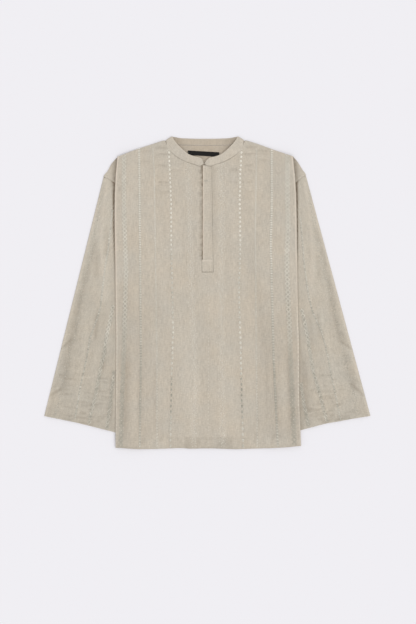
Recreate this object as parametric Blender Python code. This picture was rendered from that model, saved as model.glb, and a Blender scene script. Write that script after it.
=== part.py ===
"""A band-collar popover shirt laid flat on its back, with both sides folded under.

Metres, +Z up. The collar points to +Y, and the origin is on the floor at the middle of the outline.
Sizes are in millimetres below, and MM turns them into metres when a mesh is made. A distance called
"out" runs from the middle line to one side, so that one table serves the left and the right side.
Left and right are those of someone who looks down at the shirt.

Each piece of cloth is a wall: a lattice of middle points, each with the way that its outer face looks.
From the top, the layers at a side are the front, the back, the back and front of the strip that is
folded under, and the sleeve. Above the armhole the strip turns out again as the dropped shoulder.
"""

import math
from collections import namedtuple

import bmesh
import bpy
from mathutils import Vector

MM = 0.001

# Cloth and the spaces between its layers
CLOTH = 1.1
GAP = 0.3
PITCH = CLOTH + GAP
SLEEVE_SLACK = 0.3
STRIP_SLACK = 0.2
SEAM_GAP = 0.8
LOWER_MID = CLOTH / 2
UPPER_MID = LOWER_MID + PITCH
SLEEVE_LIFT = 2 * PITCH + SLEEVE_SLACK
STRIP_LIFT = 2 * PITCH + STRIP_SLACK

# How the cloth comes down beside what it lies on
FALL_MARGIN = 20.0
FALL_WIDTH = 30.0

# Levels from the hem to the shoulder
HEM_LEVEL = -377.0
SLOT_END = 49.2
UNDERARM = 69.6
YOKE = 239.7
SHOULDER = 330.0
STRAIGHT_LEVELS = (-354, -352, -300, -240, -180, -120, -60, 0, SLOT_END, UNDERARM, 110, 150, 195, YOKE)
UPPER_STEPS = (0.151, 0.302, 0.473, 0.638, 0.819, 1.0)
HEM_STEP = 0.5
HEM_BAND_TOP = -353.0

SideRow = namedtuple("SideRow", "y left right")
FOLD_EDGE = (
    SideRow(-377.0, 222.6, 227.7),
    SideRow(-334.0, 223.0, 226.0),
    SideRow(-260.0, 222.2, 222.8),
    SideRow(-115.0, 221.4, 222.1),
    SideRow(-30.0, 222.5, 219.5),
    SideRow(UNDERARM, 223.3, 218.3),
    SideRow(176.0, 224.8, 217.3),
    SideRow(YOKE, 224.3, 215.8),
    SideRow(281.0, 222.6, 213.1),
    SideRow(SHOULDER, 218.0, 208.5),
)
HIDDEN_EDGE = (
    SideRow(-377.0, 163.5, 165.0),
    SideRow(UNDERARM, 139.2, 139.2),
    SideRow(YOKE, 178.1, 176.0),
    SideRow(SHOULDER, 210.0, 201.0),
)

HemRow = namedtuple("HemRow", "x y")
HEM_LINE = (
    HemRow(-222.0, -376.3),
    HemRow(-165.0, -379.4),
    HemRow(-128.0, -379.4),
    HemRow(-66.0, -377.0),
    HemRow(-38.0, -378.7),
    HemRow(0.0, -377.5),
    HemRow(68.0, -379.9),
    HemRow(153.0, -377.2),
    HemRow(195.0, -374.8),
    HemRow(228.0, -371.7),
)

# The shoulder seam, from beside the collar to the fold, on each side
ShoulderRow = namedtuple("ShoulderRow", "left left_y right right_y")
SHOULDER_SEAM = (
    ShoulderRow(104.3, 369.3, 92.9, 369.3),
    ShoulderRow(139.2, 358.5, 128.0, 358.8),
    ShoulderRow(175.4, 346.2, 162.0, 346.2),
    ShoulderRow(218.0, 329.0, 208.5, 330.0),
)

# The outer edge of the dropped shoulder: armhole seam up to its tip, then the shoulder seam's end
DropRow = namedtuple("DropRow", "step left left_y right right_y")
DROP_EDGE = (
    DropRow(0.151, 201.1, 253.0, 194.7, 253.0),
    DropRow(0.302, 224.3, 266.4, 215.1, 267.2),
    DropRow(0.473, 251.7, 281.5, 239.2, 285.0),
    DropRow(0.638, 241.8, 295.6, 231.0, 298.5),
    DropRow(0.819, 232.6, 312.6, 219.7, 316.9),
    DropRow(1.0, 221.6, 325.7, 209.9, 328.7),
)
DROP_TIP = 2
TURN_END = 1.5

# The neck, as distances from its own middle line
NECK_X = -5.7
NeckRow = namedtuple("NeckRow", "half front_y back_y")
NECK_CORNER = 5
NECKLINE = (
    NeckRow(98.6, 369.3, 369.3),
    NeckRow(92.5, 358.0, 367.0),
    NeckRow(85.0, 346.5, 364.4),
    NeckRow(74.0, 335.0, 360.6),
    NeckRow(58.0, 324.5, 358.3),
    NeckRow(40.7, 316.8, 357.7),
    NeckRow(24.5, 311.7, 357.4),
    NeckRow(0.0, 308.0, 357.4),
)

# The placket opening in the front
SLOT_LEFT = 13.6
SLOT_RIGHT_TOP = 11.0
SLOT_RIGHT_END = 15.0
SLOT_TOP = 308.0
SLOT_MARGIN = 10.0
PLACKET_LIFT = 1.7
PLACKET_CLOTH = 1.6
PLACKET_GAP = 0.4
BOX_LINE = 80.3
OVER_EDGE = 10.6
OVER_TOP = 309.0
UNDER_REACH = 7.0
UNDER_END = 46.0
UNDER_BOTTOM = PITCH
OVER_BOTTOM = UNDER_BOTTOM + CLOTH + PLACKET_GAP

# Columns of the body's lattice from the fold to the middle
LAST_FOLD_COLUMN = 2
SLOT_COLUMN = 12
INNER_COLUMNS = SLOT_COLUMN - 1 - LAST_FOLD_COLUMN
FOLD_CELLS = 4
TURN_CELLS = 3
RETURN_CELLS = 2

# Soft swells of the front over the back
Swell = namedtuple("Swell", "x y half_width half_length height")
SWELLS = (
    Swell(-112.0, 150.0, 78.0, 120.0, 2.6),
    Swell(108.0, 140.0, 80.0, 130.0, 2.8),
    Swell(-84.0, -150.0, 92.0, 190.0, 2.2),
    Swell(96.0, -160.0, 96.0, 180.0, 2.5),
    Swell(4.0, -40.0, 60.0, 80.0, 1.6),
)
SWELL_CLEAR = 45.0

# Sleeves: the hem from its outer corner to its hidden end, and the soft folds along the top layer
SleeveHemRow = namedtuple("SleeveHemRow", "left left_y right right_y")
SLEEVE_HEM = (
    SleeveHemRow(396.0, -299.5, 396.0, -299.0),
    SleeveHemRow(350.6, -308.5, 354.3, -305.8),
    SleeveHemRow(308.9, -317.5, 321.0, -312.1),
    SleeveHemRow(267.0, -328.0, 284.6, -318.4),
    SleeveHemRow(224.5, -338.9, 227.5, -333.8),
    SleeveHemRow(207.3, -343.5, 209.5, -338.6),
)
SLEEVE_RINGS = 14
SLEEVE_FOLD_RADIUS = PITCH / 2
Ridge = namedtuple("Ridge", "across width start end height")
SLEEVE_RIDGES = (
    Ridge(0.24, 0.20, 0.04, 0.60, 4.2),
    Ridge(0.50, 0.17, 0.22, 0.86, 3.6),
    Ridge(0.74, 0.16, 0.45, 1.05, 3.0),
    Ridge(0.16, 0.15, 0.62, 1.04, 2.4),
)
RIDGE_CLEAR = 28.0
RIDGE_RISE = 22.0

# The collar band: stations round one half, from the front end to the fold beside the neck
BandRow = namedtuple("BandRow", "seam seam_y seam_z edge edge_y edge_z")
BAND_FRONT = (
    BandRow(12.5, 308.0, 5.7, 11.0, 326.8, 6.6),
    BandRow(24.5, 311.7, 5.7, 25.5, 330.5, 7.2),
    BandRow(40.7, 316.8, 4.6, 39.0, 335.5, 7.6),
    BandRow(58.0, 324.5, 3.9, 51.0, 344.6, 7.7),
    BandRow(74.0, 335.0, 3.8, 62.0, 355.0, 7.4),
    BandRow(85.0, 346.5, 3.8, 70.5, 364.8, 6.4),
    BandRow(91.4, 358.0, 3.8, 75.8, 372.0, 5.0),
)
BAND_FOLD = BandRow(95.6, 370.3, 3.8, 79.6, 380.0, 3.8)
BAND_BACK = (
    BandRow(85.0, 365.0, 0.8, 73.5, 377.8, 0.8),
    BandRow(74.0, 361.2, 0.8, 66.0, 376.3, 0.8),
    BandRow(58.0, 358.9, 0.8, 54.0, 374.7, 0.8),
    BandRow(40.7, 358.3, 0.8, 39.5, 374.2, 0.8),
    BandRow(24.5, 358.0, 0.8, 24.5, 373.7, 0.8),
)
BAND_MIDDLE = BandRow(0.0, 358.0, 0.8, 0.0, 373.6, 0.8)
BAND_LEFT_END = BandRow(3.0, 311.6, 5.8, 6.5, 323.6, 6.4)
BAND_RIGHT_END = BandRow(-1.3, 313.3, 5.8, 4.5, 321.8, 6.4)
BAND_RIGHT_CORNER = BandRow(3.5, 308.6, 5.8, 6.6, 323.6, 6.4)
BAND_CLOTH = 1.6
BAND_LAP = 1.5
BAND_CELLS = 2

# The plain label inside the back
LABEL_X = -9.4
LABEL_Y = 337.5
LABEL_WIDTH = 77.0
LABEL_HEIGHT = 11.0
LABEL_TURN = math.radians(-3.3)

UP = Vector((0.0, 0.0, 1.0))
QUARTER_TURN = math.pi / 2

Side = namedtuple("Side", "name sign")
LEFT = Side("left", -1.0)
RIGHT = Side("right", 1.0)

Row = namedtuple("Row", "kind value")
Point = namedtuple("Point", "mid out half_out half_in")

# Heights of one panel's layers, its two fold radii, and whether its outer face looks out of each fold
Layer = namedtuple("Layer", "strip_mid main_mid return_mid fold_radius turn_radius fold_sense turn_sense")
FRONT = Layer(
    LOWER_MID, UPPER_MID, UPPER_MID, (STRIP_LIFT + PITCH) / 2, (SLEEVE_LIFT - PITCH) / 2, 1.0, -1.0
)
BACK = Layer(
    UPPER_MID, LOWER_MID, LOWER_MID, (STRIP_LIFT - PITCH) / 2, (SLEEVE_LIFT + PITCH) / 2, -1.0, 1.0
)
FOLD_REACH = FRONT.fold_radius + CLOTH / 2
TURN_REACH = BACK.turn_radius + CLOTH / 2

# Colours of the dry cloth in linear light
LINEN = (0.565, 0.509, 0.413)
LINEN_INSIDE = (0.600, 0.503, 0.376)
LABEL_BLACK = (0.016, 0.015, 0.015)


def smooth(t):
    """An even rise from 0 to 1 as t goes from 0 to 1."""
    t = min(max(t, 0.0), 1.0)
    return t * t * (3.0 - 2.0 * t)


def lerp(a, b, t):
    """The value a share t of the way from a to b."""
    return a + (b - a) * t


def read(table, key, column, at):
    """The value of a column where the key column reads at, on straight lines between the rows."""
    rows = sorted(table, key=lambda row: getattr(row, key))
    for low, high in zip(rows, rows[1:]):
        if at <= getattr(high, key):
            break
    start, end = getattr(low, key), getattr(high, key)
    t = min(max((at - start) / (end - start), 0.0), 1.0)
    return lerp(getattr(low, column), getattr(high, column), t)


def slot_out(side, y):
    """The distance of the placket opening's edge from the middle line."""
    if side is LEFT:
        return SLOT_LEFT
    up = (y - SLOT_END) / (SLOT_TOP - SLOT_END)
    return lerp(SLOT_RIGHT_END, SLOT_RIGHT_TOP, min(max(up, 0.0), 1.0))


def straight_out(side, column, y):
    """How far out a lattice column lies at a level of the straight rows."""
    fold = read(FOLD_EDGE, "y", side.name, y) - FOLD_REACH
    hidden = read(HIDDEN_EDGE, "y", side.name, y)
    if y >= UNDERARM:
        hidden += TURN_REACH
    beside_slot = slot_out(side, y) + SLOT_MARGIN
    if column <= LAST_FOLD_COLUMN:
        return lerp(fold, hidden, column / LAST_FOLD_COLUMN)
    if column == SLOT_COLUMN:
        return slot_out(side, y)
    return lerp(hidden, beside_slot, (column - LAST_FOLD_COLUMN) / INNER_COLUMNS)


def shoulder_y(side, out):
    """The level of the shoulder seam at a distance out."""
    return read(SHOULDER_SEAM, side.name, side.name + "_y", out)


def top_place(side, column, neckline):
    """Where a lattice column ends, on the shoulder seam or the neckline."""
    if column <= LAST_FOLD_COLUMN:
        out = straight_out(side, column, SHOULDER)
        return out, shoulder_y(side, out)
    if column < NECK_CORNER:
        row = SHOULDER_SEAM[NECK_CORNER - column]
        return getattr(row, side.name), getattr(row, side.name + "_y")
    if column < SLOT_COLUMN - 1:
        row = NECKLINE[column - NECK_CORNER]
        return row.half + side.sign * NECK_X, getattr(row, neckline)
    out = slot_out(side, SLOT_TOP)
    if column < SLOT_COLUMN:
        out += SLOT_MARGIN
    return out, read(NECKLINE, "half", neckline, out - side.sign * NECK_X)


def place(side, column, row, neckline):
    """The distance out and the level of one lattice point."""
    if row.kind == "straight":
        return straight_out(side, column, row.value), row.value
    if row.kind == "hem":
        out = straight_out(side, column, HEM_LEVEL)
        return out, read(HEM_LINE, "x", "y", side.sign * out)
    top_out, top_y = top_place(side, column, neckline)
    y = lerp(YOKE, top_y, row.value)
    if column <= LAST_FOLD_COLUMN:
        return straight_out(side, column, min(y, SHOULDER)), y
    return lerp(straight_out(side, column, YOKE), top_out, row.value), y


def sleeve_hem_y(side, out):
    """The level of the sleeve's hem at a distance out."""
    return read(SLEEVE_HEM, side.name, side.name + "_y", out)


def sleeve_inner_edge(side, y):
    """The inner edge of what the body lies on: the sleeve, or the dropped shoulder above it."""
    if y >= UNDERARM:
        return read(HIDDEN_EDGE, "y", side.name, y)
    start = read(HIDDEN_EDGE, "y", side.name, UNDERARM)
    end = getattr(SLEEVE_HEM[-1], side.name)
    end_y = getattr(SLEEVE_HEM[-1], side.name + "_y")
    return lerp(start, end, min((UNDERARM - y) / (UNDERARM - end_y), 1.0))


def sleeve_lift(side, out, y):
    """How much the sleeve and the dropped shoulder lift what lies on them."""
    across = max(sleeve_inner_edge(side, y) - out, 0.0)
    below = max(sleeve_hem_y(side, out) - y, 0.0)
    beyond = math.hypot(across, below) - FALL_MARGIN
    return SLEEVE_LIFT * (1.0 - smooth(beyond / FALL_WIDTH))


def strip_lift(out, hidden):
    """How much the folded strip lifts the panels over it."""
    return STRIP_LIFT * (1.0 - smooth((hidden - out) / FALL_WIDTH))


def swell(x, y, clear):
    """The soft rise of the front, which fades out towards the side folds."""
    rise = 0.0
    for one in SWELLS:
        reach = math.hypot((x - one.x) / one.half_width, (y - one.y) / one.half_length)
        rise += one.height * (1.0 - smooth(reach))
    return rise * smooth(clear / SWELL_CLEAR)


def cloth_point(mid, out):
    """A lattice point of a single cloth."""
    return Point(mid, out, CLOTH / 2, CLOTH / 2)


def fold_angles(cells):
    """Angles round a half turn, from the bottom of a fold to its top."""
    return [lerp(-QUARTER_TURN, QUARTER_TURN, i / cells) for i in range(cells + 1)]


def fold_points(axis, level_way, radius, sense, angles):
    """Points of a cloth round a fold that bulges the level way from its axis point."""
    points = []
    for angle in angles:
        radial = level_way * math.cos(angle) + UP * math.sin(angle)
        points.append(cloth_point(axis + radial * radius, radial * sense))
    return points


def drop_edge(side, row, axis, y):
    """The outer end of the dropped shoulder on a row, which is the armhole seam up to its tip."""
    if row.kind == "upper":
        drop = DROP_EDGE[UPPER_STEPS.index(row.value)]
        return getattr(drop, side.name), getattr(drop, side.name + "_y")
    return axis + TURN_END, y


def has_turn(row):
    """Whether the folded strip turns out again on this row, as it does from the underarm up."""
    return row.kind == "upper" or (row.kind == "straight" and row.value >= UNDERARM)


def side_points(side, row, layer, neckline):
    """One row of a panel from the dropped shoulder's edge round both folds to the main panel."""
    axis_out, axis_y = place(side, LAST_FOLD_COLUMN, row, neckline)
    lift = sleeve_lift(side, axis_out, axis_y)
    outward = Vector((side.sign, 0.0, 0.0))
    strip_way = -UP * layer.fold_sense
    if has_turn(row):
        end_out, end_y = drop_edge(side, row, axis_out, axis_y)
        edge = Vector((side.sign * end_out, end_y, layer.return_mid))
        turn = Vector((side.sign * axis_out, axis_y, layer.return_mid))
        shares = [i / RETURN_CELLS for i in range(RETURN_CELLS)]
        points = [cloth_point(edge.lerp(turn, share), -UP * layer.turn_sense) for share in shares]
        axis = Vector((side.sign * axis_out, axis_y, (lift + LOWER_MID + UPPER_MID) / 2))
        points += fold_points(axis, -outward, layer.turn_radius, layer.turn_sense, fold_angles(TURN_CELLS))
    else:
        seam = Vector((side.sign * axis_out, axis_y, lift + layer.strip_mid))
        points = [None] * (RETURN_CELLS + TURN_CELLS) + [cloth_point(seam, strip_way)]
    for column in range(LAST_FOLD_COLUMN - 1, 0, -1):
        out, y = place(side, column, row, neckline)
        mid = Vector((side.sign * out, y, sleeve_lift(side, out, y) + layer.strip_mid))
        points.append(cloth_point(mid, strip_way))
    out, y = place(side, 0, row, neckline)
    height = sleeve_lift(side, out, y) + (STRIP_LIFT + LOWER_MID + UPPER_MID) / 2
    axis = Vector((side.sign * out, y, height))
    points += fold_points(axis, outward, layer.fold_radius, layer.fold_sense, fold_angles(FOLD_CELLS))
    return points


def main_point(side, column, row, layer, neckline):
    """A point of the main panel, inside the outer fold."""
    out, y = place(side, column, row, neckline)
    hidden = place(side, LAST_FOLD_COLUMN, row, neckline)[0]
    height = sleeve_lift(side, out, y) + strip_lift(out, hidden) + layer.main_mid
    half_out = CLOTH / 2
    if layer is FRONT:
        height += swell(side.sign * out, y, place(side, 0, row, neckline)[0] - out)
        if column >= SLOT_COLUMN - 1 and y >= SLOT_END:
            height += PLACKET_LIFT
        if y < HEM_BAND_TOP:
            half_out += HEM_STEP
    return Point(Vector((side.sign * out, y, height)), UP * layer.fold_sense, half_out, CLOTH / 2)


def body_rows():
    """The lattice's rows from the hem to the shoulder."""
    rows = [Row("hem", HEM_LEVEL)]
    rows += [Row("straight", level) for level in STRAIGHT_LEVELS]
    rows += [Row("upper", step) for step in UPPER_STEPS]
    return rows


def panel_lattice(layer, neckline):
    """A body panel's rows, each from the left dropped shoulder to the right one."""
    lattice = []
    for row in body_rows():
        halves = []
        for side in (LEFT, RIGHT):
            half = side_points(side, row, layer, neckline)
            for column in range(1, SLOT_COLUMN + 1):
                half.append(main_point(side, column, row, layer, neckline))
            halves.append(half)
        lattice.append(halves[0] + halves[1][::-1])
    return lattice


def slot_cells(lattice):
    """The cells that the placket opening leaves out of the front."""
    cell = len(lattice[0]) // 2 - 1
    rows = body_rows()
    first = rows.index(Row("straight", SLOT_END))
    return {(j, cell) for j in range(first, len(rows) - 1)}


def make_material(name, colour, roughness):
    """A plain cloth finish."""
    material = bpy.data.materials.new(name)
    material.use_nodes = True
    shader = material.node_tree.nodes["Principled BSDF"]
    shader.inputs["Base Color"].default_value = (*colour, 1.0)
    shader.inputs["Roughness"].default_value = roughness
    shader.inputs["Metallic"].default_value = 0.0
    material.diffuse_color = (*colour, 1.0)
    return material


def cell_triangles(corners, same_way):
    """Two triangles of a cell, cut along the same diagonal in plan on every layer."""
    a, b, c, d = corners
    if same_way:
        return (a, b, c), (a, c, d)
    return (a, b, d), (b, c, d)


def make_wall(name, lattice, material, closed=False, left_out=frozenset()):
    """A closed wall round a lattice of middle points."""
    mesh = bmesh.new()
    outer, inner = {}, {}
    for j, row in enumerate(lattice):
        for i, point in enumerate(row):
            if point is not None:
                outer[j, i] = mesh.verts.new((point.mid + point.out * point.half_out) * MM)
                inner[j, i] = mesh.verts.new((point.mid - point.out * point.half_in) * MM)
    width = len(lattice[0])
    borders = {}
    for j in range(len(lattice) - 1):
        for i in range(width if closed else width - 1):
            corners = [(j, i), (j, (i + 1) % width), (j + 1, (i + 1) % width), (j + 1, i)]
            if (j, i) in left_out or any(corner not in outer for corner in corners):
                continue
            same_way = outer[corners[1]].co.x >= outer[corners[0]].co.x
            for triangle in cell_triangles(corners, same_way):
                mesh.faces.new([outer[corner] for corner in triangle])
                mesh.faces.new([inner[corner] for corner in reversed(triangle)])
            for start, end in zip(corners, corners[1:] + corners[:1]):
                if borders.pop((end, start), None) is None:
                    borders[start, end] = True
    for start, end in borders:
        mesh.faces.new((outer[end], outer[start], inner[start], inner[end]))
    loose = [vert for vert in mesh.verts if not vert.link_faces]
    bmesh.ops.delete(mesh, geom=loose, context="VERTS")
    bmesh.ops.recalc_face_normals(mesh, faces=mesh.faces)
    data = bpy.data.meshes.new(name)
    mesh.to_mesh(data)
    mesh.free()
    data.shade_smooth()
    data.set_sharp_from_angle(angle=math.radians(40))
    data.materials.append(material)
    piece = bpy.data.objects.new(name, data)
    bpy.context.scene.collection.objects.link(piece)
    return piece


def armhole_points(side):
    """The armhole seam from the dropped shoulder's tip to the underarm."""
    points = []
    for drop in DROP_EDGE[DROP_TIP::-1]:
        points.append(Vector((getattr(drop, side.name), getattr(drop, side.name + "_y"))))
    for level in reversed(STRAIGHT_LEVELS):
        if level >= UNDERARM:
            points.append(Vector((straight_out(side, LAST_FOLD_COLUMN, level) + TURN_END, level)))
    return points


def moved_off(points, distance):
    """A line moved sideways, away from the body, by the seam's gap."""
    moved = []
    for i, point in enumerate(points):
        before, after = points[max(i - 1, 0)], points[min(i + 1, len(points) - 1)]
        ahead = (after - before).normalized()
        moved.append(point + Vector((-ahead.y, ahead.x)) * distance)
    return moved


def hem_points(side, count):
    """Evenly spaced points along the sleeve hem, from its outer corner to its hidden end."""
    start, end = getattr(SLEEVE_HEM[0], side.name), getattr(SLEEVE_HEM[-1], side.name)
    outs = [lerp(start, end, i / (count - 1)) for i in range(count)]
    return [Vector((out, sleeve_hem_y(side, out))) for out in outs]


def sleeve_rise(side, across, along, place_now):
    """The height of the soft folds on the sleeve's upper layer, none near the body."""
    clear = place_now.x - read(FOLD_EDGE, "y", side.name, place_now.y)
    rise = 0.0
    for ridge in SLEEVE_RIDGES:
        nearness = 1.0 - smooth(abs(across - ridge.across) / ridge.width)
        middle = (along - ridge.start) / (ridge.end - ridge.start)
        rise += ridge.height * nearness * smooth(4.0 * middle) * smooth(4.0 * (1.0 - middle))
    return rise * smooth((clear - RIDGE_CLEAR) / RIDGE_RISE)


def square_out(start, end):
    """The level direction square to a sleeve edge, away from the body."""
    ahead = (end - start).normalized()
    return Vector((-ahead.y, ahead.x))


def sleeve_ring(side, line, outward, inward, along):
    """One ring of the sleeve: lower layer, inner fold, upper layer and outer fold."""
    last = len(line) - 1
    spots = [Vector((side.sign * spot.x, spot.y, 0.0)) for spot in line]
    fold_mid = UP * (LOWER_MID + SLEEVE_FOLD_RADIUS)
    angles = fold_angles(FOLD_CELLS)[1:-1]
    points = [cloth_point(spot + UP * LOWER_MID, -UP) for spot in spots]
    points += fold_points(spots[-1] + fold_mid, inward, SLEEVE_FOLD_RADIUS, 1.0, angles)
    for i in range(last, -1, -1):
        rise = 0.0 if i in (0, last) else sleeve_rise(side, i / last, along, line[i])
        points.append(cloth_point(spots[i] + UP * (UPPER_MID + rise), UP))
    points += fold_points(spots[0] + fold_mid, outward, SLEEVE_FOLD_RADIUS, 1.0, angles[::-1])
    return points


def sleeve_lattice(side):
    """Rings of the flattened sleeve from the armhole to the hem."""
    starts = moved_off(armhole_points(side), SEAM_GAP)
    ends = hem_points(side, len(starts))
    reach = SLEEVE_FOLD_RADIUS + CLOTH / 2
    outer = square_out(starts[0], ends[0])
    inner = -square_out(starts[-1], ends[-1])
    outward = Vector((side.sign * outer.x, outer.y, 0.0))
    inward = Vector((side.sign * inner.x, inner.y, 0.0))
    lattice = []
    for ring in range(SLEEVE_RINGS):
        along = ring / (SLEEVE_RINGS - 1)
        line = [start.lerp(end, along) for start, end in zip(starts, ends)]
        line[0] -= outer * reach
        line[-1] -= inner * reach
        lattice.append(sleeve_ring(side, line, outward, inward, along))
    return lattice


def band_point(side, out, y, height):
    """A place on the band, by its distance from the neck's middle line."""
    return Vector((NECK_X + side.sign * out, y, height))


def band_station(side, row, way, lap):
    """The band's points at one station, from its seam to its free edge."""
    seam = band_point(side, row.seam, row.seam_y, row.seam_z)
    edge = band_point(side, row.edge, row.edge_y, row.edge_z)
    level = Vector((seam.x - edge.x, seam.y - edge.y, 0.0)).normalized()
    seam += level * lap
    mids = [seam.lerp(edge, i / BAND_CELLS) for i in range(BAND_CELLS + 1)]
    return [Point(mid, UP * way, BAND_CLOTH / 2, BAND_CLOTH / 2) for mid in mids]


def band_fold(side):
    """The band's turn from its back half to its front half, beside the neck."""
    low, high = BAND_MIDDLE.seam_z, BAND_FOLD.seam_z
    radius = (high - low) / 2
    reach = radius + BAND_CLOTH / 2
    seam = band_point(side, BAND_FOLD.seam, BAND_FOLD.seam_y, (low + high) / 2)
    edge = band_point(side, BAND_FOLD.edge, BAND_FOLD.edge_y, (low + high) / 2)
    line = (edge - seam).normalized()
    outward = Vector((side.sign * line.y, side.sign * -line.x, 0.0))
    if outward.y < 0.0:
        outward = -outward
    stations = []
    for angle in reversed(fold_angles(TURN_CELLS)):
        radial = outward * math.cos(angle) + UP * math.sin(angle)
        station = []
        for i in range(BAND_CELLS + 1):
            mid = seam.lerp(edge, i / BAND_CELLS) - outward * reach + radial * radius
            station.append(Point(mid, radial, BAND_CLOTH / 2, BAND_CLOTH / 2))
        stations.append(station)
    return stations


def band_lattice():
    """The collar band from its left front end round the neck to its right front end."""
    halves = []
    for side, ends in ((LEFT, [BAND_LEFT_END]), (RIGHT, [BAND_RIGHT_END, BAND_RIGHT_CORNER])):
        half = [band_station(side, row, 1.0, 0.0) for row in ends]
        half += [band_station(side, row, 1.0, BAND_LAP) for row in BAND_FRONT]
        half += band_fold(side)
        half += [band_station(side, row, -1.0, 0.0) for row in BAND_BACK]
        halves.append(half)
    middle = band_station(RIGHT, BAND_MIDDLE, -1.0, 0.0)
    return halves[0] + [middle] + halves[1][::-1]


def strip_lattice(rows, bottom, thickness):
    """A flat strip from rows of level, left edge and right edge."""
    lattice = []
    for y, left, right in rows:
        mids = [Vector((x, y, bottom + thickness / 2)) for x in (left, (left + right) / 2, right)]
        lattice.append([Point(mid, UP, thickness / 2, thickness / 2) for mid in mids])
    return lattice


def over_rows():
    """The placket's outer strip, which widens in its stitched box to close the gap."""
    rows = []
    for y in (SLOT_END + PLACKET_GAP, BOX_LINE - 1.0, BOX_LINE + 1.0, 150.0, 220.0, OVER_TOP):
        left = SLOT_LEFT - PLACKET_GAP if y < BOX_LINE else OVER_EDGE
        rows.append((y, -left, slot_out(RIGHT, y) - PLACKET_GAP))
    return rows


def under_rows():
    """The placket's inner strip, which shows in the gap and laps under both edges."""
    levels = (UNDER_END, 130.0, 220.0, OVER_TOP)
    return [(y, -SLOT_LEFT - UNDER_REACH, slot_out(RIGHT, y) + UNDER_REACH) for y in levels]


def label_lattice():
    """The plain label, a little turned, on the inside of the back."""
    along = Vector((math.cos(LABEL_TURN), math.sin(LABEL_TURN), 0.0))
    across = Vector((-along.y, along.x, 0.0))
    middle = Vector((LABEL_X, LABEL_Y, PITCH + LOWER_MID))
    lattice = []
    for v in (-LABEL_HEIGHT / 2, LABEL_HEIGHT / 2):
        mids = [middle + along * (LABEL_WIDTH * u) + across * v for u in (-0.5, 0.0, 0.5)]
        lattice.append([cloth_point(mid, UP) for mid in mids])
    return lattice


def clear_scene():
    """Removes what a new file holds."""
    for old in list(bpy.data.objects):
        bpy.data.objects.remove(old, do_unlink=True)


def main():
    """Makes every piece of the shirt."""
    clear_scene()
    outside = make_material("linen", LINEN, 0.85)
    inside = make_material("linen_inside", LINEN_INSIDE, 0.88)
    black = make_material("label_black", LABEL_BLACK, 0.6)
    make_wall("back", panel_lattice(BACK, "back_y"), inside)
    front = panel_lattice(FRONT, "front_y")
    make_wall("front", front, outside, left_out=slot_cells(front))
    make_wall("sleeve_left", sleeve_lattice(LEFT), outside, closed=True)
    make_wall("sleeve_right", sleeve_lattice(RIGHT), outside, closed=True)
    make_wall("collar_band", band_lattice(), outside)
    make_wall("placket_over", strip_lattice(over_rows(), OVER_BOTTOM, PLACKET_CLOTH), outside)
    make_wall("placket_under", strip_lattice(under_rows(), UNDER_BOTTOM, CLOTH), inside)
    make_wall("label", label_lattice(), black)


main()
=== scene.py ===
"""A band-collar popover shirt in striped, embroidered cloth, laid flat and dressed over its solids.

Sizes are in millimetres until a mesh is made. +Y runs from the hem to the collar and +Z up off the
floor. "Out" is a distance from the middle line to one side, and left and right are those of someone
who looks down at the shirt. A tint above zero is painted light, as paler cloth, and one below zero is painted
shade, as deeper cloth.
"""

from __future__ import annotations

import logging
import math
from dataclasses import dataclass, field
from enum import Enum
from typing import Any, Iterable, Iterator, Sequence

import bpy
import numpy as np
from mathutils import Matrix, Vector
from mathutils.bvhtree import BVHTree


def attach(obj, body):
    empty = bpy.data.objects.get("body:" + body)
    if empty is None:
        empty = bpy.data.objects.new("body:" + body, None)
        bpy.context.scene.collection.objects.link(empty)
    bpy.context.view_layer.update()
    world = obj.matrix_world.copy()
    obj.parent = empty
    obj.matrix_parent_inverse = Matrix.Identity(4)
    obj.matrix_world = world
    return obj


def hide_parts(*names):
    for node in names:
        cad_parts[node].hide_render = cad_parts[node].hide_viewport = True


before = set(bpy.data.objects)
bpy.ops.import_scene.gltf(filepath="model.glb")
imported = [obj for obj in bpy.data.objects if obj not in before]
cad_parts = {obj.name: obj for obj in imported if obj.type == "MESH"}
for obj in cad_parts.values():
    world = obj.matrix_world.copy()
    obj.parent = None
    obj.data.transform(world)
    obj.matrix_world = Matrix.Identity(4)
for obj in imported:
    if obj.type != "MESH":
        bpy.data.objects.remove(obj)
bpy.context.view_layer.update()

MM = 0.001
BODY = "root"
LOG = logging.getLogger("shirt")

Array = np.ndarray
Piece = bpy.types.Object
Material = bpy.types.Material
NodeTree = bpy.types.NodeTree
Socket = bpy.types.NodeSocket
Colour = tuple[float, float, float]
Value = Any
Place = tuple[float, float]
Line = tuple[Place, ...]
Spot = tuple[list[float], list[float]]


# Numbers along lines


def smooth(t: Any) -> Any:
    """An even rise from 0 to 1 as t goes from 0 to 1."""
    t = np.clip(t, 0.0, 1.0)
    return t * t * (3.0 - 2.0 * t)


def lerp(a: Any, b: Any, t: Any) -> Any:
    """The value a share t of the way from a to b."""
    return a + (b - a) * t


def bell(t: Any, width: Any) -> Any:
    """A soft hump, 1 high where t is 0 and gone at about twice its width."""
    return np.exp(-((t / width) ** 2))


@dataclass(frozen=True)
class Track:
    """A value that changes along a line, straight between its knots."""

    knots: Line

    def at(self, where: Any) -> Any:
        """The value at one place or at many."""
        knots = sorted(self.knots)
        return np.interp(where, [knot[0] for knot in knots], [knot[1] for knot in knots])

    def span(self) -> Place:
        """The lowest and the highest place that it has a knot for."""
        places = [knot[0] for knot in self.knots]
        return min(places), max(places)


def track(*knots: Place) -> Track:
    """A track through some knots, each a place and its value."""
    return Track(knots)


class Side(Enum):
    """One side of the shirt, and the sign of its x."""

    LEFT = -1.0
    RIGHT = 1.0


Pair = dict[Side, Track]
SideLines = dict[Side, Line]


def pair(*rows: tuple[float, float, float]) -> Pair:
    """A track for each side, from rows of place, left value and right value."""
    return {side: Track(tuple((row[0], row[k]) for row in rows)) for k, side in enumerate(Side, 1)}


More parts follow.
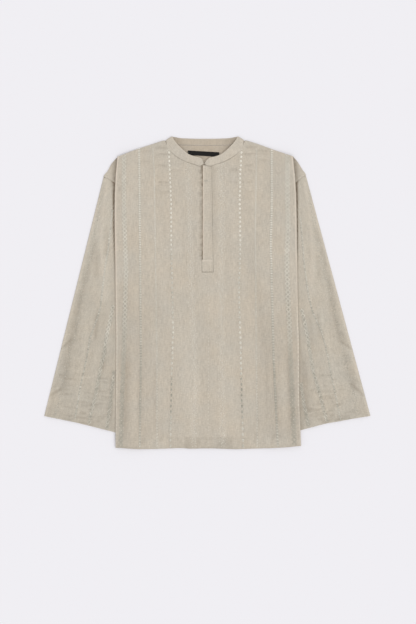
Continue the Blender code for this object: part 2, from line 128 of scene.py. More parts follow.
# Cloth as a grid of middle points


def even_slope(before: Array, after: Array, gap_before: Array, gap_after: Array) -> Array:
    """The slope at a knot between two stretches, level where they turn, so that a curve never overshoots.

    Args:
        before: the slope of the stretch before it.
        after: the slope of the stretch after it.
        gap_before: the length of the stretch before it.
        gap_after: the length of the stretch after it.

    Returns:
        The slope.
    """
    near, far = 2.0 * gap_after + gap_before, gap_after + 2.0 * gap_before
    same_way = before * after > 1e-12
    safe_before, safe_after = np.where(same_way, before, 1.0), np.where(same_way, after, 1.0)
    return np.where(same_way, (near + far) / (near / safe_before + far / safe_after), 0.0)


def hermite(values: Array, knots: Array, counts: Sequence[int], wrap: bool = False) -> Array:
    """Points on a smooth curve through the given ones.

    Args:
        values: the given points along axis 0.
        knots: the place of each along the curve, with one more at the end where it closes.
        counts: how many steps each stretch gets.
        wrap: whether the curve closes on itself.

    Returns:
        The finer points along axis 0.
    """
    if wrap:
        values = np.concatenate([values, values[:1]])
    shape = (-1,) + (1,) * (values.ndim - 1)
    gaps = np.diff(knots).reshape(shape)
    steps = np.diff(values, axis=0) / gaps
    slopes = np.empty_like(values)
    slopes[1:-1] = even_slope(steps[:-1], steps[1:], gaps[:-1], gaps[1:])
    slopes[0], slopes[-1] = steps[0], steps[-1]
    if wrap:
        slopes[0] = slopes[-1] = even_slope(steps[-1], steps[0], gaps[-1], gaps[0])
    parts = []
    for i, count in enumerate(counts):
        t = (np.arange(count) / count).reshape(shape)
        low = (1.0 + 2.0 * t) * (1.0 - t) ** 2 * values[i] + t * (1.0 - t) ** 2 * gaps[i] * slopes[i]
        high = t * t * (3.0 - 2.0 * t) * values[i + 1] + t * t * (t - 1.0) * gaps[i] * slopes[i + 1]
        parts.append(low + high)
    if not wrap:
        parts.append(values[-1:])
    return np.concatenate(parts)


@dataclass
class ClothGrid:
    """A cloth as rows and columns of middle points, each with the way that its outer face looks."""

    mid: Array
    out: Array
    half_out: Array
    half_in: Array
    live: Array
    uv: Array
    closed: bool = False
    # The painted light (above zero) and painted shade (below zero) at each point.
    tint: Array | None = None

    def finer(self, row_knots: Array, row_counts: list[int], knots: Array, counts: list[int]) -> ClothGrid:
        """The same cloth with more rows and columns, on smooth curves.

        Args:
            row_knots: the place of each row.
            row_counts: steps between rows.
            knots: the place of each column, with one more where the cloth closes on itself.
            counts: steps between columns.

        Returns:
            The finer cloth.
        """

        def fine(values: Array, wrap: bool) -> Array:
            """One field of the grid, made finer both ways."""
            rows = hermite(values, row_knots, row_counts)
            return np.swapaxes(hermite(np.swapaxes(rows, 0, 1), knots, counts, wrap), 0, 1)

        out = fine(self.out, self.closed)
        return ClothGrid(
            mid=fine(self.mid, self.closed),
            out=out / np.linalg.norm(out, axis=2, keepdims=True),
            half_out=fine(self.half_out[..., None], self.closed)[..., 0],
            half_in=fine(self.half_in[..., None], self.closed)[..., 0],
            live=np.repeat(np.repeat(self.live, row_counts, axis=0), counts, axis=1),
            uv=fine(self.uv, False),
            closed=self.closed,
        )


@dataclass(frozen=True)
class Finishes:
    """The materials of a cloth's outer face, hidden outer face, inner face and rim."""

    outer: Material
    hidden: Material
    inner: Material


def counts_for(knots: Array, step: float) -> list[int]:
    """How many steps of about one size fit between the knots."""
    return [max(1, round(float(gap) / step)) for gap in np.diff(knots)]


def arc_knots(points: Array, wrap: bool = False) -> Array:
    """The distance of each point along its line.

    Args:
        points: the line's points.
        wrap: whether the line closes, which adds its closing point.

    Returns:
        The distances.
    """
    if wrap:
        points = np.concatenate([points, points[:1]])
    gaps = np.maximum(np.linalg.norm(np.diff(points, axis=0), axis=1), 0.05)
    return np.concatenate([[0.0], np.cumsum(gaps)])


def mesh_object(name: str, points: Array, faces: list, materials: Sequence[Material]) -> Piece:
    """A new mesh piece in the scene.

    Args:
        name: the piece's name.
        points: its points in millimetres.
        faces: its faces as lists of point numbers.
        materials: its materials.

    Returns:
        The piece.
    """
    mesh = bpy.data.meshes.new(name)
    mesh.from_pydata((points * MM).tolist(), [], faces)
    for material in materials:
        mesh.materials.append(material)
    piece = bpy.data.objects.new(name, mesh)
    bpy.context.scene.collection.objects.link(piece)
    return piece


def keep_values(piece: Piece, name: str, values: Array) -> None:
    """Keeps a value at each of a piece's points, for its material to read."""
    piece.data.attributes.new(name, "FLOAT", "POINT").data.foreach_set("value", values.astype(np.float32))


def wall(name: str, grid: ClothGrid, finishes: Finishes, hidden: Array | None = None) -> Piece:
    """A closed wall of cloth round a grid, which keeps its tint as a value at each point.

    Args:
        name: the piece's name.
        grid: the cloth.
        finishes: its materials.
        hidden: the cells whose outer face lies out of sight.

    Returns:
        The piece.
    """
    j, i = np.nonzero(grid.live)
    after = (i + 1) % grid.mid.shape[1]
    ring = ((j, i), (j, after), (j + 1, after), (j + 1, i))
    used = np.zeros(grid.mid.shape[:2], bool)
    for row, column in ring:
        used[row, column] = True
    total = int(used.sum())
    number = np.full(used.shape, -1)
    number[used] = np.arange(total)
    outer = (grid.mid + grid.out * grid.half_out[..., None])[used]
    inner = (grid.mid - grid.out * grid.half_in[..., None])[used]
    corners = np.stack([number[row, column] for row, column in ring], axis=1)
    uv_ring = ((j, i), (j, i + 1), (j + 1, i + 1), (j + 1, i))
    corner_uv = np.stack([grid.uv[row, column] for row, column in uv_ring], axis=1)
    edge_a, edge_b = outer[corners[:, 2]] - outer[corners[:, 0]], outer[corners[:, 3]] - outer[corners[:, 1]]
    if (np.cross(edge_a, edge_b) * grid.out[j, i]).sum() < 0.0:
        corners, corner_uv = corners[:, ::-1], corner_uv[:, ::-1]
    starts, ends = corners.ravel(), np.roll(corners, -1, axis=1).ravel()
    border = ~np.isin(starts * total + ends, ends * total + starts)
    rim = np.stack([ends[border], starts[border], starts[border] + total, ends[border] + total], axis=1)
    rim_uv = np.zeros((total, 2))
    rim_uv[corners.ravel()] = corner_uv.reshape(-1, 2)
    rim_uv = np.stack([rim_uv[column % total] for column in rim.T], axis=1)
    faces = np.concatenate([corners, corners[:, ::-1] + total, rim]).tolist()
    looks = (finishes.outer, finishes.hidden, finishes.inner)
    piece = mesh_object(name, np.concatenate([outer, inner]), faces, looks)
    look = np.zeros(len(corners), int) if hidden is None else hidden[j, i].astype(int)
    index = np.concatenate([look, np.full(len(corners), 2), np.zeros(len(rim), int)])
    piece.data.polygons.foreach_set("material_index", index.astype(np.int32))
    layer = piece.data.uv_layers.new(name="cloth")
    loops = np.concatenate([corner_uv, corner_uv[:, ::-1], rim_uv]) * MM
    layer.data.foreach_set("uv", loops.astype(np.float32).ravel())
    tint = np.zeros(total) if grid.tint is None else grid.tint[used]
    keep_values(piece, "tint", np.concatenate([tint, tint]))
    piece.data.shade_smooth()
    piece.data.set_sharp_from_angle(angle=math.radians(48))
    return piece


# Relief pressed into the cloth


@dataclass(frozen=True)
class Crease:
    """A soft ridge, or a valley where its rise is below zero, along a straight line in plan."""

    x0: float
    y0: float
    x1: float
    y1: float
    width: float
    rise: float

    def at(self, x: Array, y: Array) -> Array:
        """The height that it adds at each place.

        Args:
            x: places across.
            y: places along.

        Returns:
            The heights.
        """
        way = np.array([self.x1 - self.x0, self.y1 - self.y0], float)
        length = float(np.hypot(*way))
        way /= length
        along = ((x - self.x0) * way[0] + (y - self.y0) * way[1]) / length
        across = (x - self.x0) * way[1] - (y - self.y0) * way[0]
        ends = smooth(along / 0.3) * smooth((1.0 - along) / 0.3)
        return self.rise * bell(across, self.width) * ends


@dataclass(frozen=True)
class SoftWaves:
    """Small uneven waves, the sum of a few seeded ones."""

    seed: int
    count: int
    across: Place
    along: Place
    rise: float

    def at(self, x: Array, y: Array) -> Array:
        """The height that they add at each place.

        Args:
            x: places across.
            y: places along.

        Returns:
            The heights.
        """
        draws = np.random.default_rng(self.seed)
        total = np.zeros_like(x)
        for _ in range(self.count):
            wave_x, wave_y = draws.uniform(*self.across), draws.uniform(*self.along)
            sign, phase = draws.choice([-1.0, 1.0]), draws.uniform(0.0, 2.0 * math.pi)
            total += np.sin(2.0 * math.pi * (x / wave_x + sign * y / wave_y) + phase)
        return total * self.rise / math.sqrt(self.count)


@dataclass(frozen=True)
class Relief:
    """All that is pressed into one cloth, on a small even lift that keeps it clear of the layer below."""

    lift: float
    creases: tuple[Crease, ...]
    waves: tuple[SoftWaves, ...]
    # How strongly its heights are painted as light and shade.
    depth: float
    least: float = -0.15

    def at(self, x: Array, y: Array) -> Array:
        """The height that it adds at each place.

        Args:
            x: places across.
            y: places along.

        Returns:
            The heights.
        """
        total = np.full_like(x, self.lift)
        for one in (*self.creases, *self.waves):
            total = total + one.at(x, y)
        return np.maximum(total, self.least)

    def shade(self, x: Array, y: Array) -> Array:
        """The painted light and shade that go with it: painted highlight on ridges and painted shade in
        valleys.

        Args:
            x: places across.
            y: places along.

        Returns:
            The tints.
        """
        total = np.zeros_like(x)
        for one in self.creases:
            total = total + one.at(x, y)
        for wave in self.waves:
            total = total + wave.at(x, y) * 0.35
        return np.clip(np.where(total > 0.0, total * 0.6, total) * self.depth, -0.4, 0.25)


# Plan of the body


class RowKind(Enum):
    """What a row of the body's grid follows."""

    HEM = "hem"
    STRAIGHT = "straight"
    UPPER = "upper"


@dataclass(frozen=True)
class Row:
    """One row of the body's grid: a level, or a share of the way from the yoke line to the shoulder."""

    kind: RowKind
    value: float


@dataclass(frozen=True)
class Layer:
    """Heights of one panel's layers, its fold radii, and whether its outer face looks out of each fold."""

    strip_mid: float
    main_mid: float
    return_mid: float
    fold_radius: float
    turn_radius: float
    fold_sense: float
    turn_sense: float


@dataclass(frozen=True)
class Swell:
    """A soft round rise of the front over the back."""

    x: float
    y: float
    half_width: float
    half_length: float
    height: float


@dataclass(frozen=True)
class BodyPlan:
    """Where the body's cloth lies: its sizes and the layers at each place."""

    cloth: float = 1.1
    pitch: float = 1.4
    sleeve_lift_full: float = 3.1
    strip_lift_full: float = 3.0
    fall_margin: float = 20.0
    fall_width: float = 30.0
    hem_level: float = -377.0
    slot_end: float = 49.2
    slot_top: float = 308.0
    underarm: float = 69.6
    yoke: float = 239.7
    yoke_rise: float = 90.0
    shoulder: float = 330.0
    hem_band_top: float = -353.0
    hem_step: float = 0.5
    drop_end: float = 1.5
    fold_reach: float = 2.75
    turn_reach: float = 2.8
    neck_x: float = -5.7
    slot_left: float = 13.6
    slot_margin: float = 10.0
    placket_lift: float = 1.7
    swell_clear: float = 45.0
    levels: tuple[float, ...] = (
        -354, -352, -300, -240, -180, -120, -60, 0, 49.2, 69.6, 110, 150, 195, 239.7,
    )
    upper_steps: tuple[float, ...] = (0.151, 0.302, 0.473, 0.638, 0.819, 1.0)
    fold_edge: Pair = field(default_factory=lambda: pair(
        (-377, 222.6, 227.7), (-334, 223, 226), (-260, 222.2, 222.8), (-115, 221.4, 222.1),
        (-30, 222.5, 219.5), (69.6, 223.3, 218.3), (176, 224.8, 217.3), (239.7, 224.3, 215.8),
        (281, 222.6, 213.1), (330, 218, 208.5),
    ))
    hidden_edge: Pair = field(default_factory=lambda: pair(
        (-377, 163.5, 165), (69.6, 139.2, 139.2), (239.7, 178.1, 176), (330, 210, 201),
    ))
    hem_line: Track = track(
        (-222, -376.3), (-165, -379.4), (-128, -379.4), (-66, -377), (-38, -378.7),
        (0, -377.5), (68, -379.9), (153, -377.2), (195, -374.8), (228, -371.7),
    )
    shoulder_seam: SideLines = field(default_factory=lambda: {
        Side.LEFT: ((104.3, 369.3), (139.2, 358.5), (175.4, 346.2), (218, 329)),
        Side.RIGHT: ((92.9, 369.3), (128, 358.8), (162, 346.2), (208.5, 330)),
    })
    drop_edge: SideLines = field(default_factory=lambda: {
        Side.LEFT: (
            (201.1, 253), (224.3, 266.4), (251.7, 281.5), (241.8, 295.6), (232.6, 312.6), (221.6, 325.7),
        ),
        Side.RIGHT: (
            (194.7, 253), (215.1, 267.2), (239.2, 285), (231, 298.5), (219.7, 316.9), (209.9, 328.7),
        ),
    })
    neckline: tuple[tuple[float, float, float], ...] = (
        (98.6, 369.3, 369.3), (92.5, 358, 367), (85, 346.5, 364.4), (74, 335, 360.6),
        (58, 324.5, 358.3), (40.7, 316.8, 357.7), (24.5, 311.7, 357.4), (0, 308, 357.4),
    )
    slot_right: Track = track((49.2, 15), (308, 11))
    sleeve_hem: SideLines = field(default_factory=lambda: {
        Side.LEFT: (
            (396, -299.5), (350.6, -308.5), (308.9, -317.5), (267, -328), (224.5, -338.9), (207.3, -343.5),
        ),
        Side.RIGHT: (
            (396, -299), (354.3, -305.8), (321, -312.1), (284.6, -318.4), (227.5, -333.8), (209.5, -338.6),
        ),
    })
    swells: tuple[Swell, ...] = (
        Swell(-112, 150, 78, 120, 2.6), Swell(108, 140, 80, 130, 2.8), Swell(-84, -150, 92, 190, 2.2),
        Swell(96, -160, 96, 180, 2.5), Swell(4, -40, 60, 80, 1.6),
    )

    @property
    def lower_mid(self) -> float:
        """The middle height of a cloth on the floor."""
        return self.cloth / 2

    @property
    def upper_mid(self) -> float:
        """The middle height of a cloth on the one on the floor."""
        return self.cloth / 2 + self.pitch

    def front(self) -> Layer:
        """The front panel's layers."""
        fold, turn = (self.strip_lift_full + self.pitch) / 2, (self.sleeve_lift_full - self.pitch) / 2
        return Layer(self.lower_mid, self.upper_mid, self.upper_mid, fold, turn, 1.0, -1.0)

    def back(self) -> Layer:
        """The back panel's layers."""
        fold, turn = (self.strip_lift_full - self.pitch) / 2, (self.sleeve_lift_full + self.pitch) / 2
        return Layer(self.upper_mid, self.lower_mid, self.lower_mid, fold, turn, -1.0, 1.0)

    def rows(self) -> list[Row]:
        """The grid's rows from the hem to the shoulder.

        Returns:
            The rows.
        """
        straight = [Row(RowKind.STRAIGHT, level) for level in self.levels]
        upper = [Row(RowKind.UPPER, step) for step in self.upper_steps]
        return [Row(RowKind.HEM, self.hem_level), *straight, *upper]

    def row_knots(self) -> Array:
        """The level that stands for each row."""
        upper = [self.yoke + self.yoke_rise * step for step in self.upper_steps]
        return np.array([self.hem_level, *self.levels, *upper])

    def slot_out(self, side: Side, y: float) -> float:
        """The distance of the placket opening's edge from the middle line."""
        return self.slot_left if side is Side.LEFT else float(self.slot_right.at(y))

    def straight_out(self, side: Side, column: int, y: float) -> float:
        """How far out a column lies at a level of the straight rows.

        Args:
            side: the side.
            column: the column, from 0 at the fold to 12 at the placket.
            y: the level.

        Returns:
            The distance out.
        """
        fold = float(self.fold_edge[side].at(y)) - self.fold_reach
        hidden = float(self.hidden_edge[side].at(y))
        if y >= self.underarm:
            hidden += self.turn_reach
        if column <= 2:
            return lerp(fold, hidden, column / 2)
        if column == 12:
            return self.slot_out(side, y)
        return lerp(hidden, self.slot_out(side, y) + self.slot_margin, (column - 2) / 9)

    def shoulder_y(self, side: Side, out: float) -> float:
        """The level of the shoulder seam at a distance out."""
        return float(Track(self.shoulder_seam[side]).at(out))

    def neck_y(self, half: float, back: bool) -> float:
        """The level of the neckline at a distance from its own middle line."""
        return float(Track(tuple((row[0], row[2 if back else 1]) for row in self.neckline)).at(half))

    def top_place(self, side: Side, column: int, back: bool) -> Place:
        """Where a column ends, on the shoulder seam or the neckline.

        Args:
            side: the side.
            column: the column.
            back: whether it is one of the back's.

        Returns:
            The distance out and the level.
        """
        if column <= 2:
            out = self.straight_out(side, column, self.shoulder)
            return out, self.shoulder_y(side, out)
        if column < 5:
            return self.shoulder_seam[side][5 - column]
        if column < 11:
            row = self.neckline[column - 5]
            return row[0] + side.value * self.neck_x, row[2 if back else 1]
        out = self.slot_out(side, self.slot_top) + (self.slot_margin if column == 11 else 0.0)
        return out, self.neck_y(out - side.value * self.neck_x, back)

    def place(self, side: Side, column: int, row: Row, back: bool) -> Place:
        """One grid point in plan.

        Args:
            side: the side.
            column: the column.
            row: the row.
            back: whether it is one of the back's.

        Returns:
            The distance out and the level.
        """
        if row.kind is RowKind.STRAIGHT:
            return self.straight_out(side, column, row.value), row.value
        if row.kind is RowKind.HEM:
            out = self.straight_out(side, column, self.hem_level)
            return out, float(self.hem_line.at(side.value * out))
        top_out, top_y = self.top_place(side, column, back)
        y = lerp(self.yoke, top_y, row.value)
        if column <= 2:
            return self.straight_out(side, column, min(y, self.shoulder)), y
        return lerp(self.straight_out(side, column, self.yoke), top_out, row.value), y

    def sleeve_hem_y(self, side: Side, out: float) -> float:
        """The level of the sleeve's hem at a distance out."""
        return float(Track(self.sleeve_hem[side]).at(out))

    def sleeve_inner_edge(self, side: Side, y: float) -> float:
        """How far out the inner edge lies of what the body lies on.

        Args:
            side: the side.
            y: the level.

        Returns:
            The distance out.
        """
        if y >= self.underarm:
            return float(self.hidden_edge[side].at(y))
        end, end_y = self.sleeve_hem[side][-1]
        start = float(self.hidden_edge[side].at(self.underarm))
        return lerp(start, end, min((self.underarm - y) / (self.underarm - end_y), 1.0))

    def sleeve_lift(self, side: Side, out: float, y: float) -> float:
        """How much the sleeve and the dropped shoulder lift what lies on them.

        Args:
            side: the side.
            out: the distance out.
            y: the level.

        Returns:
            The lift.
        """
        across = max(self.sleeve_inner_edge(side, y) - out, 0.0)
        below = max(self.sleeve_hem_y(side, out) - y, 0.0)
        beyond = math.hypot(across, below) - self.fall_margin
        return self.sleeve_lift_full * float(1.0 - smooth(beyond / self.fall_width))

    def strip_lift(self, out: float, hidden: float) -> float:
        """How much the folded strip lifts the panels over it."""
        return self.strip_lift_full * float(1.0 - smooth((hidden - out) / self.fall_width))

    def swell_at(self, x: float, y: float, clear: float) -> float:
        """The soft rise of the front, which fades out towards the side folds.

        Args:
            x: the place across.
            y: the level.
            clear: the distance in from the fold.

        Returns:
            The rise.
        """
        rise = 0.0
        for one in self.swells:
            reach = math.hypot((x - one.x) / one.half_width, (y - one.y) / one.half_length)
            rise += one.height * float(1.0 - smooth(reach))
        return rise * float(smooth(clear / self.swell_clear))

    def armhole(self, side: Side) -> list[Place]:
        """The armhole seam from the dropped shoulder's tip to the underarm.

        Args:
            side: the side.

        Returns:
            The distance out and the level of each of its points.
        """
        down = [level for level in reversed(self.levels) if level >= self.underarm]
        below = [(self.straight_out(side, 2, y) + self.drop_end, y) for y in down]
        return [*self.drop_edge[side][2::-1], *below]

    def inside_fold(self, x: Array, y: Array) -> Array:
        """The distance in from the nearer side fold."""
        fold = np.where(x < 0.0, self.fold_edge[Side.LEFT].at(y), self.fold_edge[Side.RIGHT].at(y))
        return fold - np.abs(x)


def fold_angles(cells: int) -> list[float]:
    """Angles round a half turn, from the bottom of a fold to its top."""
    return [lerp(-math.pi / 2, math.pi / 2, i / cells) for i in range(cells + 1)]


# Materials


class Tree:
    """Places and links nodes in one node tree."""

    def __init__(self, tree: NodeTree) -> None:
        """Starts with an empty tree."""
        self.tree = tree
        tree.nodes.clear()

    def node(self, kind: str, inputs: dict[Any, Value] | None = None, **settings: Value) -> bpy.types.Node:
        """A new node.

        Args:
            kind: its type.
            inputs: values or sockets for its inputs.
            settings: its own settings.

        Returns:
            The node.
        """
        made = self.tree.nodes.new(kind)
        for key, value in settings.items():
            setattr(made, key, value)
        for key, value in (inputs or {}).items():
            self.feed(made.inputs[key], value)
        return made

    def feed(self, socket: Socket, value: Value) -> None:
        """Links a socket to another one, or gives it a value.

        Args:
            socket: the socket to fill.
            value: a socket, a number, a vector or a colour.
        """
        if isinstance(value, Socket):
            self.tree.links.new(value, socket)
        elif isinstance(value, tuple) and len(value) == 3 and socket.type == "RGBA":
            socket.default_value = (*value, 1.0)
        else:
            socket.default_value = value

    def math(self, operation: str, *values: Value, clamp: bool = False) -> Socket:
        """The result of a math node."""
        node = self.node("ShaderNodeMath", dict(enumerate(values)), operation=operation, use_clamp=clamp)
        return node.outputs[0]

    def mul(self, a: Value, b: Value) -> Socket:
        """The product of two values."""
        return self.math("MULTIPLY", a, b)

    def add(self, a: Value, b: Value) -> Socket:
        """The sum of two values."""
        return self.math("ADD", a, b)

    def vector(self, operation: str, inputs: dict[Any, Value]) -> Socket:
        """The result of a vector math node."""
        return self.node("ShaderNodeVectorMath", inputs, operation=operation).outputs[0]

    def mix(self, share: Value, a: Value, b: Value, blend: str = "MIX") -> Socket:
        """The result of a colour mix.

        Args:
            share: how much of the second colour there is.
            a: the first colour.
            b: the second colour.
            blend: how they are mixed.

        Returns:
            The colour.
        """
        made = self.node("ShaderNodeMix", data_type="RGBA", blend_type=blend)
        for name, value in (("Factor_Float", share), ("A_Color", a), ("B_Color", b)):
            self.feed(next(s for s in made.inputs if s.identifier == name), value)
        return next(s for s in made.outputs if s.identifier == "Result_Color")

    def shaded(self, colour: Value, shade: Socket) -> Socket:
        """A colour made lighter or darker by a factor."""
        grey = self.node("ShaderNodeCombineColor", {0: shade, 1: shade, 2: shade}).outputs[0]
        return self.mix(1.0, colour, grey, "MULTIPLY")

    def remap(
        self, value: Value, low: float, high: float, to_low: float = 0.0, to_high: float = 1.0
    ) -> Socket:
        """A value carried from one range to another, clamped."""
        inputs = {"Value": value, "From Min": low, "From Max": high, "To Min": to_low, "To Max": to_high}
        return self.node("ShaderNodeMapRange", inputs).outputs["Result"]

    def noise(self, vector: Value, scale: Value, detail: float = 2.0, roughness: float = 0.5) -> Socket:
        """The value of a noise texture."""
        inputs = {"Vector": vector, "Scale": scale, "Detail": detail, "Roughness": roughness}
        return self.node("ShaderNodeTexNoise", inputs).outputs[0]

    def stretched(self, vector: Value, scale: tuple[float, float, float]) -> Socket:
        """A vector multiplied by its own scale each way."""
        return self.vector("MULTIPLY", {0: vector, 1: scale})

    def group(self, group: NodeTree, **inputs: Value) -> dict[str, Socket]:
        """The outputs of a shared effect placed in this tree."""
        made = self.node("ShaderNodeGroup", dict(inputs), node_tree=group)
        return {socket.name: socket for socket in made.outputs}

    def flat_place(self) -> Socket:
        """The place on the flat cloth, in metres."""
        return self.node("ShaderNodeUVMap", uv_map="cloth").outputs["UV"]

    def solid_place(self) -> Socket:
        """The place in space."""
        return self.node("ShaderNodeTexCoord").outputs["Object"]

    def kept(self, name: str) -> Socket:
        """A value kept at the mesh's points."""
        return self.node("ShaderNodeAttribute", attribute_name=name, attribute_type="GEOMETRY").outputs["Fac"]

    def bump(self, height: Socket, strength: float, distance: float) -> Socket:
        """A normal bent by a height."""
        inputs = {"Height": height, "Strength": strength, "Distance": distance}
        return self.node("ShaderNodeBump", inputs).outputs[0]

    def surface(self, colour: Socket, rough: Socket, normal: Socket, **constants: float) -> None:
        """Ends a material with its shader.

        Args:
            colour: its colour.
            rough: its roughness.
            normal: its normal.
            constants: other inputs of the shader, with _ in place of each space.
        """
        inputs = {"Base Color": colour, "Roughness": rough, "Normal": normal}
        inputs |= {name.replace("_", " "): value for name, value in constants.items()}
        shader = self.node("ShaderNodeBsdfPrincipled", inputs)
        self.node("ShaderNodeOutputMaterial", {"Surface": shader.outputs[0]})


def new_material(name: str, shown: Colour) -> tuple[Material, Tree]:
    """An empty node material.

    Args:
        name: its name.
        shown: the colour that stands for it in a plain view.

    Returns:
        The material and the tree that its nodes go in.
    """
    material = bpy.data.materials.new(name)
    material.use_nodes = True
    material.diffuse_color = (*shown, 1.0)
    return material, Tree(material.node_tree)


FLOAT, VECTOR = "NodeSocketFloat", "NodeSocketVector"
ON_CLOTH = ("Vector", VECTOR, None)


class Effect:
    """A shared effect: a node group with named inputs and outputs."""

    def __init__(self, name: str, inputs: Iterable[tuple[str, str, Value]], outputs: Iterable[str]) -> None:
        """Makes the group and its sockets.

        Args:
            name: the group's name.
            inputs: name, socket kind and default of each input.
            outputs: the name of each value that it puts out.
        """
        self.group = bpy.data.node_groups.new(name, "ShaderNodeTree")
        for label, kind, default in inputs:
            socket = self.group.interface.new_socket(label, in_out="INPUT", socket_type=kind)
            if default is not None:
                socket.default_value = default
        for label in outputs:
            self.group.interface.new_socket(label, in_out="OUTPUT", socket_type=FLOAT)
        self.tree = Tree(self.group)
        self.given = self.tree.node("NodeGroupInput").outputs
        self.result = self.tree.node("NodeGroupOutput").inputs

    def finish(self, **values: Socket) -> NodeTree:
        """Links the group's outputs.

        Args:
            values: a value for each output, by its name.

        Returns:
            The group.
        """
        for name, value in values.items():
            self.tree.feed(self.result[name], value)
        return self.group


class ClothEffects:
    """The effects that several cloths share, each a node group built once."""

    def __init__(self) -> None:
        """Builds the groups."""
        self.weave = self._weave()
        self.slubs = self._slubs()
        self.mottle = self._mottle()
        self.stripes = self._stripes()
        self.fuzz = self._fuzz()
        self.tint = self._light_shade_masks()

    def _weave(self) -> NodeTree:
        """A plain weave: threads that pass over and under each other.

        Returns:
            The group.
        """
        effect = Effect("PlainWeave", (ON_CLOTH, ("Pitch", FLOAT, 0.0007)), ("Height", "Gap"))
        tree = effect.tree
        parts = tree.node("ShaderNodeSeparateXYZ", {0: effect.given["Vector"]}).outputs
        turns = tree.math("DIVIDE", math.pi, effect.given["Pitch"])
        across, along = (tree.math("SINE", tree.mul(parts[axis], turns)) for axis in "XY")
        nearest = tree.math("MAXIMUM", tree.math("ABSOLUTE", across), tree.math("ABSOLUTE", along))
        height = tree.math("ABSOLUTE", tree.mul(across, along))
        return effect.finish(Height=height, Gap=tree.math("SUBTRACT", 1.0, nearest, clamp=True))

    def _slubs(self) -> NodeTree:
        """Uneven yarn: long streaks both ways, with the ones along the cloth the stronger.

        Returns:
            The group.
        """
        effect = Effect("SlubStreaks", (ON_CLOTH, ("Fineness", FLOAT, 1.0)), ("Tone", "Height"))
        tree = effect.tree
        vector = tree.vector("SCALE", {0: effect.given["Vector"], "Scale": effect.given["Fineness"]})
        long_way = tree.noise(tree.stretched(vector, (480.0, 62.0, 1.0)), 1.0, 3.0, 0.65)
        cross_way = tree.noise(tree.stretched(vector, (130.0, 480.0, 1.0)), 1.0, 3.0, 0.65)
        ribs = tree.noise(tree.stretched(vector, (130.0, 11.0, 1.0)), 1.0)
        both = tree.add(tree.mul(long_way, 0.44), tree.mul(cross_way, 0.46))
        tone = tree.remap(tree.add(both, tree.mul(ribs, 0.10)), 0.36, 0.64)
        return effect.finish(Tone=tone, Height=tree.add(tree.mul(long_way, 0.6), tree.mul(cross_way, 0.4)))

    def _mottle(self) -> NodeTree:
        """Soft patches of warmer and darker dye.

        Returns:
            The group.
        """
        effect = Effect("DyeMottle", (ON_CLOTH, ("Size", FLOAT, 0.06)), ("Warmth", "Shade"))
        tree = effect.tree
        scale = tree.math("DIVIDE", 1.0, effect.given["Size"])
        vector = tree.vector("SCALE", {0: effect.given["Vector"], "Scale": scale})
        moved = tree.vector("ADD", {0: vector, 1: (7.3, 2.1, 4.4)})
        warmth = tree.remap(tree.noise(vector, 1.0, 3.0, 0.6), 0.34, 0.66)
        return effect.finish(Warmth=warmth, Shade=tree.remap(tree.noise(moved, 2.3, 4.0, 0.65), 0.3, 0.7))

    def _stripes(self) -> NodeTree:
        """Embroidered stripes as colour and height, for the sides of the cloth that lie out of sight.

        Returns:
            The group.
        """
        inputs = (ON_CLOTH, ("Spacing", FLOAT, 0.04), ("Pitch", FLOAT, 0.0098))
        effect = Effect("StripePattern", inputs, ("Mask", "Height"))
        tree = effect.tree
        parts = tree.node("ShaderNodeSeparateXYZ", {0: effect.given["Vector"]}).outputs
        place = tree.math("FRACT", tree.add(tree.math("DIVIDE", parts["X"], effect.given["Spacing"]), 100.0))
        across = tree.math("ABSOLUTE", tree.math("SUBTRACT", place, 0.5))
        turns = tree.mul(tree.math("DIVIDE", parts["Y"], effect.given["Pitch"]), 2.0 * math.pi)
        band = tree.math("SUBTRACT", 1.0, tree.mul(across, 14.0), clamp=True)
        mask = tree.mul(band, tree.remap(tree.math("SINE", turns), -0.3, 0.4))
        return effect.finish(Mask=mask, Height=mask)

    def _light_shade_masks(self) -> NodeTree:
        """Splits the tint kept with the cloth into a painted-light and a painted-shade mask, each a little
        uneven.

        Returns:
            The group.
        """
        effect = Effect("PaintedLightShade", (("Tint", FLOAT, 0.0), ON_CLOTH), ("Worn", "Deep"))
        tree = effect.tree
        uneven = tree.remap(tree.noise(effect.given["Vector"], 160.0, 3.0, 0.6), 0.3, 0.7, 0.7, 1.15)
        tint = tree.mul(effect.given["Tint"], uneven)
        painted_light, painted_shade = tree.math("ADD", tint, 0.0, clamp=True), tree.math("MULTIPLY", tint, -0.8, clamp=True)
        return effect.finish(Worn=painted_light, Deep=painted_shade)

    def _fuzz(self) -> NodeTree:
        """Fine fibre ends that break up the roughness.

        Returns:
            The group.
        """
        effect = Effect("FibreFuzz", (ON_CLOTH, ("Scale", FLOAT, 900.0)), ("Roughness", "Height"))
        noise = effect.tree.noise(effect.given["Vector"], effect.given["Scale"], 3.0)
        return effect.finish(Roughness=effect.tree.remap(noise, 0.3, 0.7, 0.78, 0.95), Height=noise)


